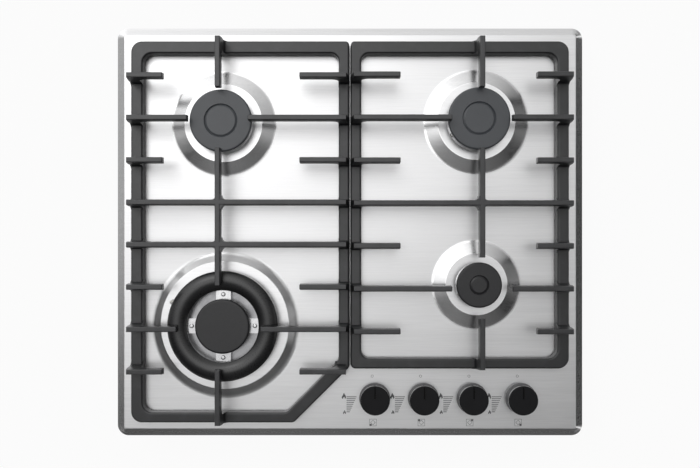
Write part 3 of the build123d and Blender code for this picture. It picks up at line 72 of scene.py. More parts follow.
class Mark(Enum):
    """The corner of the burner-position sign that is filled in."""

    FRONT_LEFT = (-1, -1)
    REAR_LEFT = (-1, 1)
    REAR_RIGHT = (1, 1)
    FRONT_RIGHT = (1, -1)


@dataclass(frozen=True)
class Texture:
    """A noise, and the relief of what it covers.

    scale is its features per metre, detail its octaves, rough how strong the finer octaves are,
    depth what the relief measures in metres, and strength the bump's strength.
    """

    scale: float
    detail: float = 2.0
    rough: float = 0.5
    depth: float = 0.0
    strength: float = 0.5


@dataclass(frozen=True)
class Value:
    """A socket that carries a number, with arithmetic that adds Math nodes."""

    recipe: "Recipe"
    socket: bpy.types.NodeSocket

    def _math(self, operation: str, first: Number, second: Number) -> "Value":
        """Add one Math node.

        Args:
            operation: the node's operation.
            first: the first operand.
            second: the second operand.

        Returns:
            The node's output.
        """
        node = self.recipe.node(
            "ShaderNodeMath", {"operation": operation}, {0: first, 1: second}
        )
        return Value(self.recipe, node.outputs[0])

    def __add__(self, other: Number) -> "Value":
        """Return self + other."""
        return self._math("ADD", self, other)

    def __radd__(self, other: Number) -> "Value":
        """Return other + self."""
        return self._math("ADD", other, self)

    def __sub__(self, other: Number) -> "Value":
        """Return self - other."""
        return self._math("SUBTRACT", self, other)

    def __rsub__(self, other: Number) -> "Value":
        """Return other - self."""
        return self._math("SUBTRACT", other, self)

    def __mul__(self, other: Number) -> "Value":
        """Return self * other."""
        return self._math("MULTIPLY", self, other)

    def __abs__(self) -> "Value":
        """Return the absolute value."""
        return self._math("ABSOLUTE", self, 0.0)


class Recipe:
    """A material, or the world, under construction, made of nodes."""

    def __init__(self, name: str, store: Any = None) -> None:
        """Start an empty material, or whatever the store keeps.

        Args:
            name: the material's name.
            store: where it is made, the materials if left out.
        """
        self.owner = (bpy.data.materials if store is None else store).new(name)
        self.owner.use_nodes = True
        self.tree = self.owner.node_tree
        self.tree.nodes.clear()

    def node(
        self, kind: str, settings: Mapping[str, Any], inputs: Mapping[Any, Any]
    ) -> bpy.types.Node:
        """Add a node, set it up, then fill its sockets.

        Args:
            kind: the node's type.
            settings: its properties.
            inputs: a number, a vector or a link for each named or numbered socket.

        Returns:
            The new node.
        """
        made = self.tree.nodes.new(kind)
        for key, setting in settings.items():
            setattr(made, key, setting)
        for key, given in inputs.items():
            socket = made.inputs[key]
            if isinstance(given, Value):
                self.tree.links.new(given.socket, socket)
            elif isinstance(given, bpy.types.NodeSocket):
                self.tree.links.new(given, socket)
            elif socket.type == "RGBA" and len(given) == 3:
                socket.default_value = (*given, 1.0)
            else:
                socket.default_value = given
        return made

    def place(self, stretch: Sequence[float] = (1.0, 1.0, 1.0)) -> bpy.types.NodeSocket:
        """Return object coordinates in metres, multiplied by stretch."""
        coords = self.node("ShaderNodeTexCoord", {}, {})
        scaled = self.node(
            "ShaderNodeVectorMath",
            {"operation": "MULTIPLY"},
            {0: coords.outputs["Object"], 1: tuple(stretch)},
        )
        return scaled.outputs[0]

    def axis(self, name: str) -> Value:
        """Return one object coordinate, X, Y or Z, in metres."""
        parts = self.node("ShaderNodeSeparateXYZ", {}, {0: self.place()})
        return Value(self, parts.outputs[name])

    def noise(self, texture: Texture, grain: Grain = Grain.NONE) -> Value:
        """Add a noise texture.

        Args:
            texture: the noise.
            grain: the way in which it is drawn out.

        Returns:
            The noise, near 0.5 on average.
        """
        node = self.node(
            "ShaderNodeTexNoise",
            {},
            {
                "Vector": self.place(grain.value),
                "Scale": texture.scale,
                "Detail": texture.detail,
                "Roughness": texture.rough,
            },
        )
        return Value(self, node.outputs["Fac"])

    def specks(self, scale: float) -> Value:
        """Return the distance to scattered points, with scale points per metre."""
        node = self.node("ShaderNodeTexVoronoi", {}, {"Vector": self.place(), "Scale": scale})
        return Value(self, node.outputs["Distance"])

    def span(self, value: Number, low: float, high: float, start: float, end: float) -> Value:
        """Map low..high to start..end, clamped.

        Args:
            value: the number to map.
            low: the input that gives start.
            high: the input that gives end.
            start: the output at low.
            end: the output at high.

        Returns:
            The mapped number.
        """
        node = self.node(
            "ShaderNodeMapRange",
            {"clamp": True},
            {"Value": value, "From Min": low, "From Max": high, "To Min": start, "To Max": end},
        )
        return Value(self, node.outputs[0])

    def spread(self, noise: Value, middle: float, swing: Swing) -> Value:
        """Map nearly all of a noise to a range that swings down and up from the middle."""
        return self.span(noise, NOISE_LOW, NOISE_HIGH, middle - swing[0], middle + swing[1])

    def blend(
        self,
        share: Number,
        first: Union[Colour, bpy.types.NodeSocket],
        second: Union[Colour, bpy.types.NodeSocket],
    ) -> bpy.types.NodeSocket:
        """Mix two colours.

        Args:
            share: how much of the second colour.
            first: the colour at 0.
            second: the colour at 1.

        Returns:
            The mixed colour's socket.
        """
        node = self.node(
            "ShaderNodeMix", {"data_type": "RGBA"}, {0: share, 6: first, 7: second}
        )
        return node.outputs[2]

    def relief(self, height: Value, depth: float, strength: float = 1.0) -> bpy.types.NodeSocket:
        """Turn a height from 0 to 1 into a normal.

        Args:
            height: the height pattern.
            depth: what a height of 1 measures, in metres.
            strength: the bump's strength.

        Returns:
            The normal's socket.
        """
        node = self.node(
            "ShaderNodeBump", {}, {"Height": height, "Distance": depth, "Strength": strength}
        )
        return node.outputs[0]

    def surface(self, **inputs: Any) -> bpy.types.Material:
        """Close the material with a Principled shader.

        Args:
            **inputs: the shader's sockets, with underscores for spaces.

        Returns:
            The finished material.
        """
        filled = {key.replace("_", " "): given for key, given in inputs.items()}
        shader = self.node("ShaderNodeBsdfPrincipled", {}, filled)
        self.node("ShaderNodeOutputMaterial", {}, {"Surface": shader.outputs[0]})
        return self.owner


@dataclass(frozen=True)
class Ramp:
    """A clamped map from low..high to start..end."""

    low: float
    high: float
    start: float = 0.0
    end: float = 1.0

    def of(self, value: Value) -> Value:
        """Return the mapped number."""
        return value.recipe.span(value, self.low, self.high, self.start, self.end)


@dataclass(frozen=True)
class Platform:
    """One raised burner platform of the plate: a flat top and a drawn slope round it."""

    x: float
    y: float
    top: float
    base: float
    roughness: float


@dataclass(frozen=True)
class PressedPlate:
    """The hob plate's steel: brushed, faintly clouded, and smoother where the press drew it."""

    name: str
    colour: Colour = (0.86, 0.86, 0.865)
    shade: Colour = (0.79, 0.79, 0.795)
    roughness: float = 0.4
    smooth: float = 0.2
    table: float = 0.33
    stretched: float = 0.1
    lines: Texture = Texture(1500.0, 3.0, 0.6, depth=0.000012)
    bands: Texture = Texture(1500.0 / 9)
    clouds: Texture = Texture(9.0, 3.0)
    line_share: float = 0.6
    streaks: Ramp = Ramp(0.38, 0.62)
    streak_rough: float = 0.05
    cloud_rough: float = 0.06
    foot: float = 0.002
    fade: float = 0.001
    rim: tuple[float, float] = (0.2797, 0.2437)
    platforms: tuple[Platform, ...] = (
        Platform(-0.156, 0.1336, 0.048, 0.064, 0.24),
        Platform(0.156, 0.1362, 0.048, 0.064, 0.23),
        Platform(0.156, -0.065, 0.0382, 0.054, 0.23),
        Platform(-0.1542, -0.115, 0.079, 0.0885, 0.34),
    )

    def away(self, recipe: Recipe, platform: Platform) -> Value:
        """Return the distance from the upright line through a platform's centre."""
        flat = recipe.place((1.0, 1.0, 0.0))
        node = recipe.node(
            "ShaderNodeVectorMath",
            {"operation": "DISTANCE"},
            {0: flat, 1: (platform.x, platform.y, 0.0)},
        )
        return Value(recipe, node.outputs["Value"])

    def edge(self, recipe: Recipe) -> Value:
        """Return 1 on the rim's slope, and 0 inside it."""
        across, back = abs(recipe.axis("X")), abs(recipe.axis("Y"))
        sides = Ramp(self.rim[0], self.rim[0] + self.fade).of(across)
        ends = Ramp(self.rim[1], self.rim[1] + self.fade).of(back)
        return Ramp(0.0, 1.0).of(sides + ends)

    def drawn(self, recipe: Recipe, rough: Value, edge: Value) -> Value:
        """Return the roughness, lowered on the rim's slope and on the platforms."""
        rough = rough * (1.0 - edge) + edge * self.smooth
        for platform in self.platforms:
            away = self.away(recipe, platform)
            flat = Ramp(platform.top - self.fade, platform.top, 1.0, 0.0).of(away)
            inside = Ramp(platform.base, platform.base + self.foot, 1.0, 0.0).of(away)
            slope = inside * (1.0 - flat)
            rough = rough * (1.0 - slope - flat)
            rough = rough + slope * platform.roughness + flat * self.table
        return rough

    def material(self) -> bpy.types.Material:
        """Build the finish."""
        recipe = Recipe(self.name)
        edge = self.edge(recipe)
        lines = recipe.noise(self.lines, Grain.ALONG_X)
        bands = recipe.noise(self.bands, Grain.ALONG_X)
        streak = self.streaks.of(lines * self.line_share + bands * (1.0 - self.line_share))
        cloud = recipe.noise(self.clouds)
        middle = (self.streak_rough + self.cloud_rough) / 2
        rough = streak * self.streak_rough + cloud * self.cloud_rough + (self.roughness - middle)
        return recipe.surface(
            Base_Color=recipe.blend(streak, self.shade, self.colour),
            Metallic=1.0,
            Roughness=self.drawn(recipe, rough, edge),
            Anisotropic=self.stretched,
            Normal=recipe.relief(lines * (1.0 - edge), self.lines.depth, self.lines.strength),
        )


@dataclass(frozen=True)
class CastIron:
    """Cast iron under matt enamel: sand texture, slightly worn and paler on top."""

    name: str
    colour: Colour = (0.012, 0.0125, 0.014)
    worn: Colour = (0.028, 0.0285, 0.031)
    roughness: float = 0.36
    shine: float = 0.78
    top: float = 0.0945
    worn_height: float = 0.008
    worn_more: float = 0.25
    wear: Ramp = Ramp(0.5, 0.85)
    swing: Swing = (0.08, 0.1)
    sand: Texture = Texture(900.0, 4.0, 0.65, depth=0.00012, strength=0.7)
    patches: Texture = Texture(60.0, 4.0)

    def material(self) -> bpy.types.Material:
        """Build the finish."""
        recipe = Recipe(self.name)
        sand = recipe.noise(self.sand)
        patch = recipe.noise(self.patches)
        height = Ramp(self.top - self.worn_height, self.top).of(recipe.axis("Z"))
        wear = self.wear.of(patch + height * self.worn_more)
        return recipe.surface(
            Base_Color=recipe.blend(wear, self.colour, self.worn),
            Roughness=recipe.spread(sand, self.roughness, self.swing),
            Specular_IOR_Level=self.shine,
            Normal=recipe.relief(sand, self.sand.depth, self.sand.strength),
        )


@dataclass(frozen=True)
class Enamel:
    """Baked enamel on a burner cap: fine speckle, an orange-peel skin and faint heat tint."""

    name: str
    colour: Colour = (0.076, 0.082, 0.091)
    speck: Colour = (0.12, 0.126, 0.136)
    roughness: float = 0.36
    coat: float = 0.15
    skin_depth: float = 0.000015
    coat_roughness: float = 0.3
    swing: Swing = (0.05, 0.07)
    skin: Texture = Texture(700.0)
    patches: Texture = Texture(45.0, 3.0)
    dots: float = 1100.0
    dot_shape: Ramp = Ramp(0.1, 0.26, 0.7, 0.0)
    tint: float = 0.8

    def material(self) -> bpy.types.Material:
        """Build the finish."""
        recipe = Recipe(self.name)
        skin = recipe.noise(self.skin)
        patch = recipe.noise(self.patches)
        dots = self.dot_shape.of(recipe.specks(self.dots))
        dark = tuple(part * self.tint for part in self.colour)
        ground = recipe.blend(patch, dark, self.colour)
        return recipe.surface(
            Base_Color=recipe.blend(dots, ground, self.speck),
            Roughness=recipe.spread(skin, self.roughness, self.swing),
            Coat_Weight=self.coat,
            Coat_Roughness=self.coat_roughness,
            Normal=recipe.relief(skin, self.skin_depth, self.skin.strength),
        )


@dataclass(frozen=True)
class DieCast:
    """Die-cast aluminium: grainy skin with darker patches where flames have been."""

    name: str
    colour: Colour
    tarnish: Colour
    roughness: float
    swing: Swing = (0.07, 0.12)
    grit: Texture = Texture(1600.0, 3.0, 0.6, depth=0.00005, strength=0.6)
    patches: Texture = Texture(70.0, 4.0)
    tarnished: Ramp = Ramp(0.35, 0.75)

    def material(self) -> bpy.types.Material:
        """Build the finish."""
        recipe = Recipe(self.name)
        grit = recipe.noise(self.grit)
        share = self.tarnished.of(recipe.noise(self.patches))
        return recipe.surface(
            Base_Color=recipe.blend(share, self.colour, self.tarnish),
            Metallic=1.0,
            Roughness=recipe.spread(grit, self.roughness, self.swing),
            Normal=recipe.relief(grit, self.grit.depth, self.grit.strength),
        )


@dataclass(frozen=True)
class Turned:
    """Turned or drawn metal with fine tool lines and slight staining."""

    name: str
    colour: Colour = (0.78, 0.58, 0.28)
    stain: Colour = (0.6, 0.42, 0.2)
    roughness: float = 0.3
    grain: Grain = Grain.ALONG_X
    thread_pitch: float = 0.0
    thread_top: float = 0.0
    thread_fade: float = 0.0002
    swing: Swing = (0.06, 0.08)
    tooling: Texture = Texture(1400.0, depth=0.00002)
    patches: Texture = Texture(120.0, 3.0)
    stained: Ramp = Ramp(0.4, 0.75)

    def thread(self, recipe: Recipe) -> bpy.types.NodeSocket:
        """Return the relief of a thread that ends at thread_top."""
        turn = recipe.axis("Z") * (1.0 / self.thread_pitch)
        ridge = recipe.node("ShaderNodeMath", {"operation": "PINGPONG"}, {0: turn, 1: 0.5})
        end = Ramp(self.thread_top - self.thread_fade, self.thread_top, 1.0, 0.0)
        height = Value(recipe, ridge.outputs[0]) * end.of(recipe.axis("Z"))
        return recipe.relief(height, self.thread_pitch)

    def material(self) -> bpy.types.Material:
        """Build the finish."""
        recipe = Recipe(self.name)
        tooling = recipe.noise(self.tooling, self.grain)
        share = self.stained.of(recipe.noise(self.patches))
        if self.thread_pitch:
            normal = self.thread(recipe)
        else:
            normal = recipe.relief(tooling, self.tooling.depth, self.tooling.strength)
        return recipe.surface(
            Base_Color=recipe.blend(share, self.colour, self.stain),
            Metallic=1.0,
            Roughness=recipe.spread(tooling, self.roughness, self.swing),
            Normal=normal,
        )


@dataclass(frozen=True)
class Galvanised:
    """Zinc-coated sheet with its crystal pattern."""

    name: str
    colour: Colour = (0.5, 0.51, 0.52)
    flake: Colour = (0.62, 0.63, 0.64)
    roughness: float = 0.42
    flakes: float = 90.0
    flake_share: float = 0.7
    haze_share: float = 0.6
    crystals: Ramp = Ramp(0.3, 0.8)
    metal: float = 0.85
    uneven: float = 0.12
    haze: Texture = Texture(25.0, 4.0)
    skin: Texture = Texture(800.0, depth=0.00002, strength=0.4)

    def material(self) -> bpy.types.Material:
        """Build the finish."""
        recipe = Recipe(self.name)
        crystal = recipe.specks(self.flakes)
        haze = recipe.noise(self.haze)
        skin = recipe.noise(self.skin)
        share = self.crystals.of(crystal * self.flake_share + haze * self.haze_share)
        return recipe.surface(
            Base_Color=recipe.blend(share, self.colour, self.flake),
            Metallic=self.metal,
            Roughness=share * self.uneven + (self.roughness - self.uneven / 2),
            Normal=recipe.relief(skin, self.skin.depth, self.skin.strength),
        )


@dataclass(frozen=True)
class Moulded:
    """Moulded plastic with a fine spark-eroded grain."""

    name: str
    colour: Colour = (0.012, 0.012, 0.013)
    roughness: float = 0.35
    gloss: float = 0.4
    swing: Swing = (0.05, 0.07)
    grain: Texture = Texture(1800.0, depth=0.00002)
    patches: Texture = Texture(80.0)
    paler: tuple[float, float] = (1.25, 0.004)

    def ground(self, recipe: Recipe) -> bpy.types.NodeSocket:
        """Return the plastic's slightly uneven colour."""
        times, more = self.paler
        pale = tuple(min(1.0, part * times + more) for part in self.colour)
        return recipe.blend(recipe.noise(self.patches), self.colour, pale)

    def satin(self, recipe: Recipe, grain: Value) -> Value:
        """Return the roughness of the grained skin."""
        return recipe.spread(grain, self.roughness, self.swing)

    def material(self) -> bpy.types.Material:
        """Build the finish."""
        recipe = Recipe(self.name)
        grain = recipe.noise(self.grain)
        return recipe.surface(
            Base_Color=self.ground(recipe),
            Roughness=self.satin(recipe, grain),
            Specular_IOR_Level=self.gloss,
            Normal=recipe.relief(grain, self.grain.depth, self.grain.strength),
        )


@dataclass(frozen=True)
class KnobPlastic(Moulded):
    """Plastic of a knob: satin black top, pointer groove darkened with painted shade, polished
    side, skirt lightened to grey as a painted highlight.
    """

    colour: Colour = (0.009, 0.009, 0.0102)
    centre: Point = (0.0, 0.0)
    top: float = 0.0738
    groove: tuple[float, float, float] = (0.0011, 0.0015, 0.017)
    groove_fades: tuple[float, float, float] = (0.0001, 0.001, 0.0003)
    groove_shade_colour: Colour = (0.0012, 0.0012, 0.0012)
    side_drop: float = 0.0012
    near_top: float = 0.0002
    polish: float = 0.14
    skirt: float = 0.06
    skirt_fade: float = 0.005
    skirt_highlight_colour: Colour = (0.17, 0.17, 0.175)
    paler: tuple[float, float] = (1.25, 0.003)

    def cut(self, recipe: Recipe, height: Value) -> Value:
        """Return 1 on the walls and floor of the pointer groove, where the painted shade goes, and
        0 elsewhere.
        """
        across = abs(recipe.axis("X") - self.centre[0])
        ahead = recipe.axis("Y") - self.centre[1]
        half, start, end = self.groove
        beside, before, beyond = self.groove_fades
        found = Ramp(half, half + beside, 1.0, 0.0).of(across)
        found = found * Ramp(start - before, start).of(ahead)
        found = found * Ramp(end, end + beyond, 1.0, 0.0).of(ahead)
        below = Ramp(self.top - self.near_top, self.top - self.near_top / 2, 1.0, 0.0)
        return found * below.of(height)

    def material(self) -> bpy.types.Material:
        """Build the finish."""
        recipe = Recipe(self.name)
        grain = recipe.noise(self.grain)
        height = recipe.axis("Z")
        cut = self.cut(recipe, height)
        wall = Ramp(self.top - self.side_drop, self.top - self.near_top, 1.0, 0.0)
        side = wall.of(height) * (1.0 - cut)
        # Painted highlight: the knob's low skirt is coloured grey to stand in for light reflected
        # on its flange.
        low = Ramp(self.skirt, self.skirt + self.skirt_fade, 1.0, 0.0).of(height)
        body = recipe.blend(low, self.ground(recipe), self.skirt_highlight_colour)
        return recipe.surface(
            # Painted shade: the pointer groove is coloured near-black to stand in for the shade
            # inside it.
            Base_Color=recipe.blend(cut, body, self.groove_shade_colour),
            Roughness=self.satin(recipe, grain) * (1.0 - side) + side * self.polish,
            Specular_IOR_Level=self.gloss,
            Coat_Weight=side,
            Coat_Roughness=self.polish,
            Normal=recipe.relief(grain, self.grain.depth, self.grain.strength),
        )


@dataclass(frozen=True)
class Rubbery:
    """Rubber or foam: matt, with a dusty bloom and a skin that is fine or cellular."""

    name: str
    colour: Colour = (0.02, 0.02, 0.021)
    bloom: Colour = (0.05, 0.05, 0.05)
    cells: float = 1500.0
    depth: float = 0.00005
    strength: float = 0.6
    roughness: float = 0.79
    gloss: float = 0.3
    swing: Swing = (0.07, 0.07)
    dust: Texture = Texture(110.0, 4.0)
    dusty: Ramp = Ramp(0.4, 0.8)

    def material(self) -> bpy.types.Material:
        """Build the finish."""
        recipe = Recipe(self.name)
        dust = recipe.noise(self.dust)
        return recipe.surface(
            Base_Color=recipe.blend(self.dusty.of(dust), self.colour, self.bloom),
            Roughness=recipe.spread(dust, self.roughness, self.swing),
            Specular_IOR_Level=self.gloss,
            Normal=recipe.relief(recipe.specks(self.cells), self.depth, self.strength),
        )


@dataclass(frozen=True)
class Glazed:
    """Glazed ceramic, off-white, with tiny dark flecks."""

    name: str
    colour: Colour = (0.82, 0.8, 0.74)
    fleck: Colour = (0.45, 0.42, 0.36)
    flecks: float = 900.0
    fleck_shape: Ramp = Ramp(0.06, 0.16, 0.5, 0.0)
    roughness: float = 0.24
    swing: Swing = (0.06, 0.06)
    coat: float = 0.5
    mottle: Texture = Texture(300.0)
    waves: Texture = Texture(500.0, depth=0.00003, strength=0.4)

    def material(self) -> bpy.types.Material:
        """Build the finish."""
        recipe = Recipe(self.name)
        share = self.fleck_shape.of(recipe.specks(self.flecks))
        waves = recipe.noise(self.waves)
        return recipe.surface(
            Base_Color=recipe.blend(share, self.colour, self.fleck),
            Roughness=recipe.spread(recipe.noise(self.mottle), self.roughness, self.swing),
            Coat_Weight=self.coat,
            Normal=recipe.relief(waves, self.waves.depth, self.waves.strength),
        )


@dataclass(frozen=True)
class PrintedInk:
    """Screen-printed ink, slightly uneven where it wears thin."""

    name: str
    colour: Colour = (0.09, 0.09, 0.095)
    thin: Colour = (0.2, 0.2, 0.205)
    wear: Ramp = Ramp(0.45, 0.75)
    roughness: float = 0.475
    swing: Swing = (0.075, 0.075)
    thinning: Texture = Texture(500.0, 4.0)
    mottle: Texture = Texture(900.0)
    film: Texture = Texture(1200.0, depth=0.00001, strength=0.3)

    def material(self) -> bpy.types.Material:
        """Build the finish."""
        recipe = Recipe(self.name)
        share = self.wear.of(recipe.noise(self.thinning))
        film = recipe.noise(self.film)
        return recipe.surface(
            Base_Color=recipe.blend(share, self.colour, self.thin),
            Roughness=recipe.spread(recipe.noise(self.mottle), self.roughness, self.swing),
            Normal=recipe.relief(film, self.film.depth, self.film.strength),
        )


@dataclass
class Assembly:
    """Common ground of the sub-assemblies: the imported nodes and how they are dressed."""

    nodes: Mapping[str, bpy.types.Object]

    def wear(self, finish: bpy.types.Material, *names: str) -> None:
        """Give nodes one finish in all their material slots.

        Args:
            finish: the material.
            *names: the nodes' names.
        """
        for name in names:
            piece = self.nodes[name]
            for slot in piece.material_slots:
                slot.material = finish
            LOG.info("%s wears %s", name, finish.name)


@dataclass
class SteelBody(Assembly):
    """The pressed plate with the seal below it, and the tray that closes the underside."""

    def dress(self) -> None:
        """Give each piece of the body its finish."""
        self.wear(PressedPlate("brushed_plate").material(), "hob_plate")
        self.wear(Galvanised("galvanised_tray").material(), "bottom_tray")
        zinc = Turned("zinc_fastener", (0.66, 0.67, 0.68), (0.5, 0.5, 0.52), 0.32).material()
        self.wear(zinc, "plate_brackets", "case_screws")
        foam = Rubbery("seal_foam", (0.03, 0.03, 0.032), (0.06, 0.06, 0.062), 700.0, 0.0003)
        self.wear(foam.material(), "worktop_seal")


@dataclass
class PanSupports(Assembly):
    """The cast supports and the rubber feet plugged into them."""

    sides: Sequence[str] = ("left", "right")

    def dress(self) -> None:
        """Give the castings and their feet their finishes."""
        iron = CastIron("support_iron").material()
        feet = Rubbery("support_feet").material()
        for side in self.sides:
            self.wear(iron, f"pan_support_{side}")
            self.wear(feet, f"rubber_feet_{side}")


@dataclass
class Burners(Assembly):
    """Cups, crowns, caps and ignition of the burners."""

    small: Sequence[str] = ("rear_left", "rear_right", "front_right")

    def dress(self) -> None:
        """Give each burner's pieces their finishes."""
        casting = DieCast("crown_casting", (0.76, 0.76, 0.77), (0.56, 0.56, 0.57), 0.26).material()
        # Painted shade: the cups take a darker copy of the crowns' die-cast colour, standing in
        # for the shade under the crowns and caps.
        cup_shaded = DieCast("cup_casting", (0.46, 0.46, 0.47), (0.34, 0.34, 0.35), 0.32).material()
        grey = Enamel("cap_grey_enamel").material()
        dark = Enamel(
            "cap_dark_enamel", (0.019, 0.019, 0.021), (0.042, 0.042, 0.045), 0.42
        ).material()
        black = Enamel(
            "ring_black_enamel", (0.008, 0.008, 0.009), (0.018, 0.018, 0.02), 0.3, 0.5, 0.000004
        ).material()
        zinc = Turned("burner_screw", (0.72, 0.72, 0.73), (0.55, 0.55, 0.56), 0.25).material()
        for place in self.small:
            self.wear(casting, f"crown_{place}")
            self.wear(cup_shaded, f"cup_{place}")
            self.wear(dark if place == "front_right" else grey, f"cap_{place}")
        self.wear(casting, "crown_front_left")
        self.wear(cup_shaded, "cup_front_left")
        self.wear(black, "cap_front_left_ring")
        self.wear(dark, "cap_front_left_center")
        self.wear(zinc, "bridge_screws", "cup_screws", "electrode_pins")
        self.wear(Turned("injector_brass").material(), "injectors")
        self.wear(Glazed("electrode_glaze").material(), "electrode_ceramics")


@dataclass
class Controls(Assembly):
    """Knobs with the taps that they turn."""

    places: Sequence[str] = ("front_left", "rear_left", "rear_right", "front_right")

    def dress(self) -> None:
        """Give knobs, spindles, taps and their switches their finishes."""
        nylon = Moulded("collar_nylon", (0.62, 0.61, 0.56), 0.45).material()
        brass = Turned("tap_brass", grain=Grain.ALONG_Z).material()
        zinc = Turned("bracket_zinc", (0.62, 0.63, 0.65), (0.48, 0.48, 0.5), 0.35).material()
        for index, place in enumerate(self.places):
            centre = (KNOB_FIRST + index * KNOB_PITCH) * MM, KNOB_LINE * MM
            knob = KnobPlastic(
                f"knob_black_{place}", roughness=0.45, gloss=0.15, centre=centre
            ).material()
            self.wear(knob, f"knob_{place}")
            self.wear(brass, f"tap_{place}", f"spindle_{place}")
            self.wear(nylon, f"push_collar_{place}")
        self.wear(zinc, "tap_support", "tap_screws")
        self.wear(Moulded("switch_black", roughness=0.5).material(), "ignition_switches")
        self.wear(Rubbery("spindle_seal_rubber").material(), "spindle_seals")


@dataclass
class GasTrain(Assembly):
    """The rail along the taps, its threaded inlet and the pipes to the burners."""

    thread_pitch: float = 1.814 * MM
    thread_top: float = 16.0 * MM

    def dress(self) -> None:
        """Give the rail, inlet, pipes and nuts their finishes."""
        steel = Turned("rail_steel", (0.6, 0.61, 0.63), (0.45, 0.45, 0.47), 0.35).material()
        tube = Turned("pipe_aluminium", (0.76, 0.76, 0.77), (0.62, 0.62, 0.63), 0.3).material()
        inlet = Turned(
            "inlet_brass", thread_pitch=self.thread_pitch, thread_top=self.thread_top
        ).material()
        self.wear(steel, "gas_rail", "rail_end_stop")
        self.wear(inlet, "gas_inlet")
        pipes = [name for name in self.nodes if name.startswith("feed_pipe_")]
        self.wear(tube, *pipes)
        self.wear(Turned("nut_brass").material(), "pipe_nuts")


@dataclass
class Wiring(Assembly):
    """Ignition module, mains terminal and the gland for the cord."""

    def dress(self) -> None:
        """Give the electrical pieces their finishes."""
        black = Moulded("module_black", (0.02, 0.02, 0.021), 0.5).material()
        white = Moulded("terminal_white", (0.66, 0.65, 0.6), 0.45).material()
        silicone = Rubbery("lead_silicone", (0.42, 0.42, 0.4), (0.56, 0.56, 0.54), 1200.0, 0.00002)
        zinc = Turned("floor_screw_zinc", (0.66, 0.67, 0.68), (0.5, 0.5, 0.52)).material()
        self.wear(black, "ignition_module", "cable_gland")
        self.wear(white, "terminal_block")
        self.wear(silicone.material(), "ignition_leads")
        self.wear(zinc, "floor_screws")


